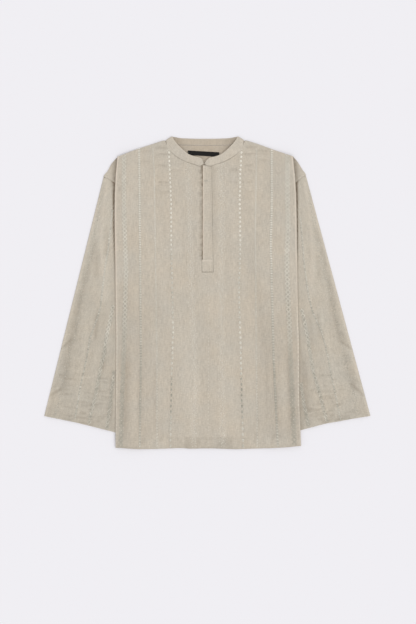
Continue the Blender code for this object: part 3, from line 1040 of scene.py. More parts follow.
@dataclass(frozen=True)
class ClothFinish:
    """A dry woven cloth with slubs and soft dye patches, and painted light and shade from the tint kept with
    it.
    """

    name: str
    cool: Colour
    warm: Colour
    depth: float = 0.17
    mottle_size: float = 0.075
    pitch: float = 0.0009
    striped: bool = False
    sheen: float = 0.12
    # The next two colours are mixed in by the kept tint: the first is painted light, the second painted
    # shade.
    painted_light: Colour = (0.72, 0.62, 0.52)
    painted_shade: Colour = (0.12, 0.083, 0.050)
    stripe: Colour = (0.72, 0.68, 0.58)

    def build(self, effects: ClothEffects) -> Material:
        """The finish as a material.

        Args:
            effects: the shared node groups.

        Returns:
            The material.
        """
        material, tree = new_material(self.name, self.cool)
        flat, place = tree.flat_place(), tree.solid_place()
        weave = tree.group(effects.weave, Vector=flat, Pitch=self.pitch)
        slubs = tree.group(effects.slubs, Vector=flat)
        mottle = tree.group(effects.mottle, Vector=place, Size=self.mottle_size)
        fuzz = tree.group(effects.fuzz, Vector=place)
        streak = tree.remap(slubs["Tone"], 0.0, 1.0, 1.0 - self.depth, 1.0 + self.depth)
        patch = tree.remap(mottle["Shade"], 0.0, 1.0, 0.98, 1.02)
        gap = tree.math("SUBTRACT", 1.0, tree.mul(weave["Gap"], 0.18))
        base = tree.mix(mottle["Warmth"], self.cool, self.warm)
        colour = tree.shaded(base, tree.mul(tree.mul(streak, patch), gap))
        # Mixes in painted light and painted shade by the tint kept at each point.
        edge = tree.group(effects.tint, Tint=tree.kept("tint"), Vector=place)
        colour = tree.mix(edge["Deep"], tree.mix(edge["Worn"], colour, self.painted_light), self.painted_shade)
        height = tree.add(tree.mul(weave["Height"], 0.35), tree.mul(slubs["Height"], 0.5))
        height = tree.add(height, tree.mul(fuzz["Height"], 0.15))
        if self.striped:
            stripes = tree.group(effects.stripes, Vector=flat)
            colour = tree.mix(tree.mul(stripes["Mask"], 0.6), colour, self.stripe)
            height = tree.add(height, tree.mul(stripes["Height"], 1.2))
        constants = {"Sheen_Weight": self.sheen, "Sheen_Roughness": 0.5, "Specular_IOR_Level": 0.25}
        tree.surface(colour, fuzz["Roughness"], tree.bump(height, 0.55, 0.0004), **constants)
        return material


@dataclass(frozen=True)
class ThreadFinish:
    """Embroidery and sewing thread with its sheen and shade painted in: from olive grey as painted shade to
    cream as painted highlight, by the tone kept with each stitch.
    """

    name: str
    in_shade: Colour
    in_light: Colour
    sheen: float = 0.25

    def build(self, effects: ClothEffects) -> Material:
        """The finish as a material.

        Args:
            effects: the shared node groups.

        Returns:
            The material.
        """
        material, tree = new_material(self.name, self.in_light)
        place = tree.solid_place()
        fuzz = tree.group(effects.fuzz, Vector=place, Scale=2400.0)
        mottle = tree.group(effects.mottle, Vector=place, Size=0.012)
        uneven = tree.remap(mottle["Shade"], 0.0, 1.0, -0.09, 0.09)
        # The kept tone paints the thread's sheen and shade; the small noise added to it is its own
        # unevenness.
        tone = tree.math("ADD", tree.kept("tone"), uneven, clamp=True)
        colour = tree.mix(tone, self.in_shade, self.in_light)
        rough = tree.remap(fuzz["Roughness"], 0.78, 0.95, 0.45, 0.65)
        constants = {"Sheen_Weight": self.sheen, "Specular_IOR_Level": 0.4}
        tree.surface(colour, rough, tree.bump(fuzz["Height"], 0.3, 0.0002), **constants)
        return material


@dataclass(frozen=True)
class SatinFinish:
    """A smooth black woven label: fine floats that run across it."""

    name: str
    colour: Colour

    def build(self, effects: ClothEffects) -> Material:
        """The finish as a material.

        Args:
            effects: the shared node groups.

        Returns:
            The material.
        """
        material, tree = new_material(self.name, self.colour)
        flat = tree.flat_place()
        weave = tree.group(effects.weave, Vector=tree.stretched(flat, (0.3, 1.0, 1.0)), Pitch=0.0004)
        slubs = tree.group(effects.slubs, Vector=flat, Fineness=2.0)
        colour = tree.shaded(self.colour, tree.remap(slubs["Tone"], 0.0, 1.0, 0.75, 1.35))
        rough = tree.remap(slubs["Tone"], 0.0, 1.0, 0.5, 0.68)
        tree.surface(colour, rough, tree.bump(weave["Height"], 0.4, 0.0002), Specular_IOR_Level=0.12)
        return material


@dataclass
class Wardrobe:
    """Every material of the shirt."""

    linen: Material
    sleeve: Material
    striped: Material
    inside: Material
    thread: Material
    label: Material

    @classmethod
    def build(cls) -> Wardrobe:
        """Makes the shared effects and then each material.

        Returns:
            The materials.
        """
        effects = ClothEffects()
        cool, warm = (0.520, 0.474, 0.404), (0.545, 0.481, 0.395)
        # The inside is set darker than the outside: partly its own colour and partly painted shade, to look
        # as it does below the collar.
        inside = ClothFinish("linen_inside", (0.480, 0.418, 0.342), (0.500, 0.424, 0.332), depth=0.12)
        return cls(
            linen=ClothFinish("linen", cool, warm).build(effects),
            # The sleeves get a copy of the linen a little greyer, which offsets the brown of the shade
            # painted on them.
            sleeve=ClothFinish("linen_sleeve_greyed_for_shade", (0.517, 0.475, 0.405), (0.541, 0.483, 0.399)).build(effects),
            striped=ClothFinish("linen_striped", cool, warm, striped=True).build(effects),
            inside=inside.build(effects),
            # The thread's olive grey is its painted shade and its cream its painted highlight.
            thread=ThreadFinish("embroidery_thread", (0.335, 0.32, 0.262), (0.84, 0.8, 0.71)).build(effects),
            label=SatinFinish("label_satin", (0.010, 0.0095, 0.0095)).build(effects),
        )

    def outside(self) -> Finishes:
        """A cloth whose outer face is seen."""
        return Finishes(self.linen, self.striped, self.inside)

    def sleeve_outside(self) -> Finishes:
        """The same on a sleeve, in a greyer copy of the linen that offsets the brown of its painted shade."""
        return Finishes(self.sleeve, self.striped, self.inside)


# Body panels


def declare(piece: Piece, node: str) -> None:
    """Fixes a piece to the shirt's body in place of its solid.

    Args:
        piece: the piece.
        node: the node that it replaces.
    """
    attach(piece, BODY)
    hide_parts(node)
    LOG.info("%s: %d faces", piece.name, len(piece.data.polygons))


SEED_ROUTES = (
    ((318, -46.5), (20, -38), (-90, -34.7), (-198, -28.9), (-374, -33.5)),
    ((318, 35), (98, 35.5), (24, 33), (-374, 38)),
)
SEED_BAND_TINT = track((-374, 0.15), (-200, 0.13), (-120, 0.06), (-60, 0.1), (150, 0.12), (300, 0.06))
# Painted light and shade across the hem band, by place across: darker over its creased patches and paler
# further out.
HEM_BAND_TINT = track(
    (-222, -0.03), (-176, 0), (-160, 0.06), (-108, 0.05), (-90, -0.03), (-58, -0.06), (-54, -0.17),
    (-22, -0.17), (-18, -0.09), (22, -0.09), (26, -0.19), (60, -0.17), (64, -0.05), (96, -0.03),
    (104, 0.03), (134, 0.04), (150, 0.14), (180, 0.12), (205, 0.05),
)
# Painted highlight along each side fold's rim, by level, and how far in from the fold the right one lies.
RIM_HIGHLIGHT_LEFT = track((-370, 0.15), (-300, 0.25), (-200, 0.45), (-60, 0.72), (60, 0.85), (100, 1.05), (300, 1))
RIM_HIGHLIGHT_RIGHT = track((-370, 0.15), (-200, 0.2), (-60, 0.32), (60, 0.45), (100, 0.6), (300, 0.6))
RIM_HIGHLIGHT_INSET = track((60, 1.2), (120, 2.7))


@dataclass
class BodyPanel:
    """The front or the back: main panel, side folds, folded strips and dropped shoulders."""

    plan: BodyPlan
    name: str
    is_back: bool
    row_step: float
    main_step: float
    strip_step: float
    relief: Relief | None = None
    relief_clear: float = 24.0
    chest_step: float = 0.0

    @property
    def layer(self) -> Layer:
        """The panel's layers."""
        return self.plan.back() if self.is_back else self.plan.front()

    def _side_points(self, side: Side, row: Row) -> list[Spot]:
        """One row from the dropped shoulder's edge round both folds to the main panel.

        Args:
            side: the side.
            row: the row.

        Returns:
            Middle points and outward directions.
        """
        plan, layer, sign = self.plan, self.layer, side.value
        out2, y2 = plan.place(side, 2, row, self.is_back)
        lift = plan.sleeve_lift(side, out2, y2)
        turns = row.kind is RowKind.UPPER or (row.kind is RowKind.STRAIGHT and row.value >= plan.underarm)
        end_out, end_y = out2 + plan.drop_end, y2
        if row.kind is RowKind.UPPER:
            end_out, end_y = plan.drop_edge[side][plan.upper_steps.index(row.value)]
        points = []
        for share in (0.0, 0.5):
            spot = [sign * lerp(end_out, out2, share), lerp(end_y, y2, share), layer.return_mid]
            points.append((spot, [0.0, 0.0, -layer.turn_sense]))
        axis_z = (lift + plan.lower_mid + plan.upper_mid) / 2
        for angle in fold_angles(3):
            radial = [-sign * math.cos(angle), 0.0, math.sin(angle)]
            spot = [sign * out2 + radial[0] * layer.turn_radius, y2, axis_z + radial[2] * layer.turn_radius]
            points.append((spot, [part * layer.turn_sense for part in radial]))
        strip_way = [0.0, 0.0, -layer.fold_sense]
        if not turns:
            points[-1] = ([sign * out2, y2, lift + layer.strip_mid], strip_way)
        out1, y1 = plan.place(side, 1, row, self.is_back)
        points.append(([sign * out1, y1, plan.sleeve_lift(side, out1, y1) + layer.strip_mid], strip_way))
        out0, y0 = plan.place(side, 0, row, self.is_back)
        over_floor = (plan.strip_lift_full + plan.lower_mid + plan.upper_mid) / 2
        height = plan.sleeve_lift(side, out0, y0) + over_floor
        for angle in fold_angles(4):
            radial = [sign * math.cos(angle), 0.0, math.sin(angle)]
            spot = [sign * out0 + radial[0] * layer.fold_radius, y0, height + radial[2] * layer.fold_radius]
            points.append((spot, [part * layer.fold_sense for part in radial]))
        return points

    def _main_points(self, side: Side, row: Row) -> list[Spot]:
        """One row of the main panel from beside the fold to the middle.

        Args:
            side: the side.
            row: the row.

        Returns:
            Middle points and outward directions.
        """
        plan, layer = self.plan, self.layer
        points = []
        hidden = plan.place(side, 2, row, self.is_back)[0]
        fold = plan.place(side, 0, row, self.is_back)[0]
        for column in range(1, 13):
            out, y = plan.place(side, column, row, self.is_back)
            height = plan.sleeve_lift(side, out, y) + plan.strip_lift(out, hidden) + layer.main_mid
            if not self.is_back:
                height += plan.swell_at(side.value * out, y, fold - out)
                if column >= 11 and y >= plan.slot_end:
                    height += plan.placket_lift
            points.append(([side.value * out, y, height], [0.0, 0.0, layer.fold_sense]))
        return points

    def coarse(self) -> ClothGrid:
        """The panel's grid as its solid has it.

        Returns:
            The grid.
        """
        rows = self.plan.rows()
        lines = []
        for row in rows:
            halves = [self._side_points(side, row) + self._main_points(side, row) for side in Side]
            lines.append(halves[0] + halves[1][::-1])
        mid, out = (np.array([[point[k] for point in line] for line in lines]) for k in (0, 1))
        live = np.ones((len(rows) - 1, mid.shape[1] - 1), bool)
        first_turn = rows.index(Row(RowKind.STRAIGHT, self.plan.underarm))
        live[:first_turn, :5] = live[:first_turn, -5:] = False
        half = np.full(mid.shape[:2], self.plan.cloth / 2)
        half_out = half.copy()
        if not self.is_back:
            live[rows.index(Row(RowKind.STRAIGHT, self.plan.slot_end)):, 23] = False
            half_out[:2, 12:36] += self.plan.hem_step
        gaps = np.linalg.norm(np.diff(mid, axis=1), axis=2)
        along = np.concatenate([np.zeros((len(rows), 1)), np.cumsum(gaps, axis=1)], axis=1)
        along -= (along[:, 23:24] + along[:, 24:25]) / 2
        return ClothGrid(mid, out, half_out, half, live, np.stack([along, mid[..., 1]], axis=2))

    def grid(self) -> ClothGrid:
        """The panel's fine grid, with its relief.

        Returns:
            The grid.
        """
        coarse, plan = self.coarse(), self.plan
        row_knots = plan.row_knots()
        knots = arc_knots(coarse.mid[plan.rows().index(Row(RowKind.STRAIGHT, 150))])
        wide = arc_knots(coarse.mid[plan.rows().index(Row(RowKind.UPPER, plan.upper_steps[2]))])
        half = [max(2, round((wide[1] - wide[0]) / self.main_step))] * 2 + [2] * 3
        half += counts_for(knots[5:8], self.strip_step) + [2] * 4 + counts_for(knots[11:24], self.main_step)
        counts = half + counts_for(knots[23:25], self.main_step) + half[::-1]
        self.strip_from, self.strip_to = sum(counts[:5]), sum(counts[:11])
        rows = counts_for(row_knots, self.row_step)
        if self.chest_step:
            above_yoke = len(plan.upper_steps) + 1
            rows[-above_yoke:] = counts_for(row_knots[-above_yoke - 1:], self.chest_step)
        fine = coarse.finer(row_knots, rows, knots, counts)
        x, y = fine.mid[..., 0], fine.mid[..., 1]
        fine.tint = self._back_light_and_shade(x, y) if self.is_back else self._front_light_and_shade(x, y)
        if self.relief is not None:
            clear = plan.inside_fold(x, y)
            columns = np.arange(x.shape[1])
            main = ((columns >= self.strip_to) & (columns <= sum(counts[:36])))[None, :]
            fine.mid[..., 2] += self.relief.at(x, y) * smooth((clear - 3.0) / self.relief_clear) * main
            # Painted highlight on the relief's ridges and painted shade in its valleys.
            fine.tint = fine.tint + self.relief.shade(x, y) * smooth((clear - 2.0) / 5.0) * main
        return fine

    def _back_light_and_shade(self, x: Array, y: Array) -> Array:
        """The painted light and shade on the inside of the back below the collar: soft wrinkles, a little
        darker overall, and deeper towards its corners.

        Args:
            x: places across.
            y: levels.

        Returns:
            The tint at each point.
        """
        below_seam = np.clip(358.0 - y, 0.0, None)
        corner = smooth((np.abs(x - self.plan.neck_x) - 45.0) / 30.0)
        wrinkles = SoftWaves(87, 6, (22, 60), (14, 40), 0.08).at(x, y)
        tint = (wrinkles - 0.06 + 0.06 * bell(below_seam, 5.0)) * (y > 320.0)
        return tint - 0.5 * corner * bell(below_seam, 18.0) * (y > 320.0)

    def _front_light_and_shade(self, x: Array, y: Array) -> Array:
        """The front's tint: painted highlights along its side folds, painted shade beside them, low at its
        sides, along its hem and in the placket opening, painted light and shade across the hem band, and
        paler cloth along the seed-stitch bands.

        Args:
            x: places across.
            y: levels.

        Returns:
            The tint at each point.
        """
        plan, left = self.plan, x < 0.0
        clear = plan.inside_fold(x, y)
        columns = np.minimum(np.arange(x.shape[1]), x.shape[1] - 1 - np.arange(x.shape[1]))[None, :]
        main, folded = columns >= self.strip_to, columns >= self.strip_to - 7
        # Painted shade over the whole front, deeper low down and towards the sides.
        low = smooth((40.0 - y) / 190.0)
        tint = -((0.03 + (0.02 + 0.11 * smooth((np.abs(x) - 105.0) / 60.0)) * low) * main)
        # Painted light and shade across the hem band.
        tint += HEM_BAND_TINT.at(x) * smooth((plan.hem_band_top - y + 3.0) / 3.0) * main
        for route in SEED_ROUTES:
            tint += SEED_BAND_TINT.at(y) * bell(x - Track(route).at(y), 6.0) * main
        # Painted shade along the hem band's top line and the hem's bottom edge.
        line, bottom = bell(y - plan.hem_band_top + 1.0, 1.6), bell(y - plan.hem_line.at(x), 3.2)
        tint -= (0.03 * line + 0.16 * bottom) * main
        # Painted highlight along each side fold's rim; painted shade on the right fold's outer side and
        # beside the folds on the dropped shoulders.
        rim = np.where(left, RIM_HIGHLIGHT_LEFT.at(y), RIM_HIGHLIGHT_RIGHT.at(y))
        tint += rim * bell(clear - np.where(left, 1.6, RIM_HIGHLIGHT_INSET.at(y)), 1.4) * folded
        tint -= np.where(left, 0.0, 1.2 * smooth((y - 70.0) / 50.0)) * bell(clear, 1.3) * folded
        tint -= 0.66 * (bell(np.clip(-clear, 0.0, None), 9.0) * (columns < self.strip_from))
        return tint - self._gap_shade(x, y)

    def _gap_shade(self, x: Array, y: Array) -> Array:
        """How much shade is painted on the front's edges beside the placket opening.

        Args:
            x: places across.
            y: levels.

        Returns:
            The painted shade at each point.
        """
        out = np.abs(x) - np.where(x < 0.0, self.plan.slot_left, self.plan.slot_right.at(y))
        slit = (y > self.plan.slot_end) & (y < self.plan.slot_top + 6.0) & (out > -0.3)
        ragged = 1.0 + SoftWaves(83, 7, (4000, 9000), (6, 26), 0.42).at(x, y)
        left = (0.44 * smooth((y - 72.0) / 16.0) + 0.02) * bell(out, 4.6) * np.clip(ragged, 0.4, 1.6)
        left += 0.5 * bell(out, 2.6) * smooth((y - 288.0) / 14.0)
        right = 0.12 * bell(np.clip(out - 1.0, 0.0, None), 6.0) * smooth((y - 90.0) / 60.0)
        return np.where(x < 0.0, left, right) * slit

    def build(self, finishes: Finishes, slot: str) -> Piece:
        """The panel as a piece.

        Args:
            finishes: its materials.
            slot: not used.

        Returns:
            The piece.
        """
        grid = self.grid()
        hidden = np.full_like(grid.live, self.is_back)
        hidden[:, self.strip_from:self.strip_to] = True
        hidden[:, -self.strip_to:-self.strip_from] = True
        piece = wall(self.name + "_panel", grid, finishes, hidden)
        declare(piece, self.name)
        return piece


# Sleeves


@dataclass(frozen=True)
class SleeveRidge:
    """A soft fold along the sleeve's upper layer, by shares across and along it."""

    across: float
    width: float
    start: float
    end: float
    height: float


@dataclass(frozen=True)
class FoldShadow:
    """The shade painted beside the body's fold on a sleeve, and painted light where its depth is below zero:
    its depth, width and distance out, by level.
    """

    depth: Track
    width: Track
    middle: Track

    def at(self, clear: Array, y: Array) -> Array:
        """The tint at a distance out from the fold, at each level."""
        return -self.depth.at(y) * bell(np.clip(clear, 0.0, None) - self.middle.at(y), self.width.at(y))


FOLD_SHADOWS = {
    Side.LEFT: FoldShadow(
        track((-330, 0), (-270, -0.36), (-150, -0.42), (-50, -0.28), (0, -0.06), (30, 0.15), (60, 0.5),
              (110, 0.85), (150, 1.25), (220, 1.4), (290, 0.9)),
        track((-330, 4), (-160, 2.6), (60, 2.2), (200, 1.8), (250, 3), (290, 7)),
        track((60, 0.8), (110, 2.2), (180, 3.1), (230, 3.1)),
    ),
    Side.RIGHT: FoldShadow(
        track((-330, 0.35), (-160, 0.28), (-120, 0.25), (-90, 0.34), (-40, 0.34), (30, 0.4), (60, 0.55),
              (110, 0.9), (150, 1.25), (220, 1.4), (290, 0.9)),
        track((-330, 7), (-150, 7), (-100, 2), (-60, 1.6), (60, 2), (200, 1.8), (250, 3), (290, 7)),
        track((60, 0.6), (150, 1.3), (230, 1.9)),
    ),
}


@dataclass
class Sleeve:
    """One flattened sleeve: a tube with a fold at each side."""

    plan: BodyPlan
    side: Side
    relief: Relief
    rings: int = 14
    seam_gap: float = 0.15
    hem_width: float = 21.0
    hem_step: float = 0.35
    row_step: float = 2.4
    upper_step: float = 3.0
    lower_step: float = 9.0
    clear_from: float = 28.0
    clear_rise: float = 22.0
    ridges: tuple[SleeveRidge, ...] = (
        SleeveRidge(0.36, 0.34, 0.02, 0.62, 2.0), SleeveRidge(0.50, 0.30, 0.22, 0.92, 1.8),
        SleeveRidge(0.74, 0.18, 0.45, 1.05, 1.2),
    )

    @property
    def name(self) -> str:
        """The piece's name."""
        return "sleeve_left" if self.side is Side.LEFT else "sleeve_right"

    def _ends(self) -> tuple[Array, Array]:
        """The tube's two lines, at the armhole and at the hem.

        Returns:
            The distance out and level of each point of both.
        """
        seam = np.array(self.plan.armhole(self.side))
        starts = []
        for i, point in enumerate(seam):
            ahead = seam[min(i + 1, len(seam) - 1)] - seam[max(i - 1, 0)]
            ahead /= np.linalg.norm(ahead)
            starts.append(point + np.array([-ahead[1], ahead[0]]) * self.seam_gap)
        first, last = self.plan.sleeve_hem[self.side][0][0], self.plan.sleeve_hem[self.side][-1][0]
        outs = [lerp(first, last, i / (len(seam) - 1)) for i in range(len(seam))]
        return np.array(starts), np.array([(out, self.plan.sleeve_hem_y(self.side, out)) for out in outs])

    def _rise(self, across: float, along: float, spot: Array) -> float:
        """The height of the soft folds at one place, none near the body.

        Args:
            across: share across.
            along: share along.
            spot: the distance out and the level.

        Returns:
            The height.
        """
        clear = spot[0] - float(self.plan.fold_edge[self.side].at(spot[1]))
        rise = 0.0
        for ridge in self.ridges:
            near = 1.0 - smooth(abs(across - ridge.across) / ridge.width)
            middle = (along - ridge.start) / (ridge.end - ridge.start)
            rise += ridge.height * float(near * smooth(4.0 * middle) * smooth(4.0 * (1.0 - middle)))
        return rise * float(smooth((clear - self.clear_from) / self.clear_rise))

    def _ring(self, line: Array, along: float, ways: tuple[Array, Array]) -> list[Spot]:
        """One ring of the tube: its lower layer, its inner fold, its upper layer and its outer fold.

        Args:
            line: the ring's places in plan.
            along: its share along the sleeve.
            ways: the level directions out of the outer and the inner fold.

        Returns:
            Middle points and outward directions.
        """
        sign, radius, low = self.side.value, self.plan.pitch / 2, self.plan.lower_mid
        last = len(line) - 1
        angles = fold_angles(4)[1:-1]

        def turn(way: Array, spot: Array, order: list[float]) -> list[Spot]:
            """The points round one fold.

            Args:
                way: the level direction out of it.
                spot: its place in plan.
                order: the angles, in order.

            Returns:
                Middle points and outward directions.
            """
            radials = [[sign * way[0] * math.cos(a), way[1] * math.cos(a), math.sin(a)] for a in order]
            middle = (sign * spot[0], spot[1], low + radius)
            return [([m + r * radius for m, r in zip(middle, radial)], radial) for radial in radials]

        lower = [([sign * spot[0], spot[1], low], [0.0, 0.0, -1.0]) for spot in line]
        rises = [0.0 if i in (0, last) else self._rise(i / last, along, line[i]) for i in range(last + 1)]
        upper = [
            ([sign * spot[0], spot[1], self.plan.upper_mid + rise], [0.0, 0.0, 1.0])
            for spot, rise in zip(line, rises)
        ]
        return lower + turn(ways[1], line[-1], angles) + upper[::-1] + turn(ways[0], line[0], angles[::-1])

    def coarse(self) -> ClothGrid:
        """The sleeve's rings as its solid has them.

        Returns:
            The grid.
        """
        starts, ends = self._ends()
        count = len(starts)
        reach = (self.plan.pitch + self.plan.cloth) / 2
        aheads = [(ends[k] - starts[k]) / np.linalg.norm(ends[k] - starts[k]) for k in (0, -1)]
        outer, inner = np.array([-aheads[0][1], aheads[0][0]]), -np.array([-aheads[1][1], aheads[1][0]])
        rings = []
        for along in np.arange(self.rings) / (self.rings - 1):
            line = lerp(starts, ends, along)
            line[0] = line[0] - outer * reach
            line[-1] = line[-1] - inner * reach
            rings.append(self._ring(line, along, (outer, inner)))
        mid, out = (np.array([[spot[k] for spot in ring] for ring in rings]) for k in (0, 1))
        half = np.full(mid.shape[:2], self.plan.cloth / 2)
        live = np.ones((self.rings - 1, mid.shape[1]), bool)
        closing = np.concatenate([mid, mid[:, :1]], axis=1)
        gaps = np.linalg.norm(np.diff(closing, axis=1), axis=2)
        across = np.concatenate([np.zeros((self.rings, 1)), np.cumsum(gaps, axis=1)], axis=1)
        across = across - across[:, count + 3:2 * count + 3].mean(axis=1, keepdims=True)
        down = np.linspace(0.0, 1.0, self.rings)[:, None] * self.length()
        uv = np.stack([across, np.broadcast_to(-down, across.shape)], axis=2)
        return ClothGrid(mid, out, half, half.copy(), live, uv, closed=True)

    def length(self) -> float:
        """The sleeve's length along its outer edge."""
        starts, ends = self._ends()
        return float(np.linalg.norm(ends[0] - starts[0]))

    def spot(self, across: float, along: float) -> Place:
        """A place in plan, by shares across from the outer edge and along from the armhole.

        Args:
            across: share across.
            along: share along.

        Returns:
            x and y.
        """
        starts, ends = self._ends()
        shares = np.linspace(0.0, 1.0, len(starts))
        start = [np.interp(across, shares, starts[:, k]) for k in (0, 1)]
        end = [np.interp(across, shares, ends[:, k]) for k in (0, 1)]
        return self.side.value * lerp(start[0], end[0], along), lerp(start[1], end[1], along)

    def grid(self) -> ClothGrid:
        """The sleeve's fine grid, with its relief and the turned-up hem.

        Returns:
            The grid.
        """
        coarse, length = self.coarse(), self.length()
        row_knots = np.linspace(0.0, length, self.rings)
        knots = arc_knots(coarse.mid[self.rings // 2], wrap=True)
        gaps = np.diff(knots)
        last = (len(gaps) - 8) // 2
        counts = [max(1, round(gap / self.lower_step)) for gap in gaps[:last]] + [2] * 4
        counts += [max(2, round(gap / self.upper_step)) for gap in gaps[last + 4:-4]] + [2] * 4
        fine = coarse.finer(row_knots, counts_for(row_knots, self.row_step), knots, counts)
        upper = np.zeros(fine.mid.shape[1], bool)
        upper[sum(counts[:last + 4]):sum(counts[:-4]) + 1] = True
        x, y = fine.mid[..., 0], fine.mid[..., 1]
        clear = np.abs(x) - self.plan.fold_edge[self.side].at(y)
        place = np.cumsum(upper) / max(upper.sum(), 1)
        edges = smooth(place / 0.06) * smooth((1.0 - place) / 0.06)
        rise = self.relief.at(x, y) * upper[None, :] * smooth((clear - 6.0) / 16.0) * edges[None, :]
        along = np.linspace(0.0, 1.0, fine.mid.shape[0])[:, None]
        fine.mid[..., 2] += rise * smooth(along / 0.04)
        down = length * (1.0 - along)
        fine.half_out += self.hem_step * smooth((self.hem_width - down) / 2.0) * upper[None, :]
        # The sleeve's painted light and shade: shade, and light in places, beside the body's fold; broad
        # shade lower down; light and shade with its relief; shade over its hem and at its armhole seam; and
        # light along its hem's edge and its outer edge.
        tint = FOLD_SHADOWS[self.side].at(clear, y)
        shade_low = 0.155 if self.side is Side.LEFT else 0.095
        tint -= shade_low * smooth((150.0 - y) / 260.0) * smooth(clear / 4.0)
        tint += self.relief.shade(x, y) * smooth((clear - 4.0) / 8.0)
        tint -= 0.05 * smooth((self.hem_width + 3.0 - down) / 4.0)
        tint += 0.1 * bell(down, 1.6) - 0.55 * bell(along * length, 1.6)
        tint += 0.3 * smooth((0.035 - np.clip(1.0 - place, 0.0, 1.0)) / 0.035)[None, :] * (y < 230.0)
        fine.tint = tint * upper[None, :]
        return fine

    def build(self, finishes: Finishes) -> Piece:
        """The sleeve as a piece.

        Args:
            finishes: its materials.

        Returns:
            The piece.
        """
        grid = self.grid()
        piece = wall(self.name + "_tube", grid, finishes, grid.out[:-1, :, 2] < -0.5)
        declare(piece, self.name)
        return piece


# Collar band, placket and label


@dataclass(frozen=True)
class BandStation:
    """One station round the collar band: its seam and its free edge, by distance from the neck's middle."""

    seam: float
    seam_y: float
    seam_z: float
    edge: float
    edge_y: float
    edge_z: float


def stations(*rows: tuple[float, ...]) -> tuple[BandStation, ...]:
    """Stations from rows of their values."""
    return tuple(BandStation(*row) for row in rows)


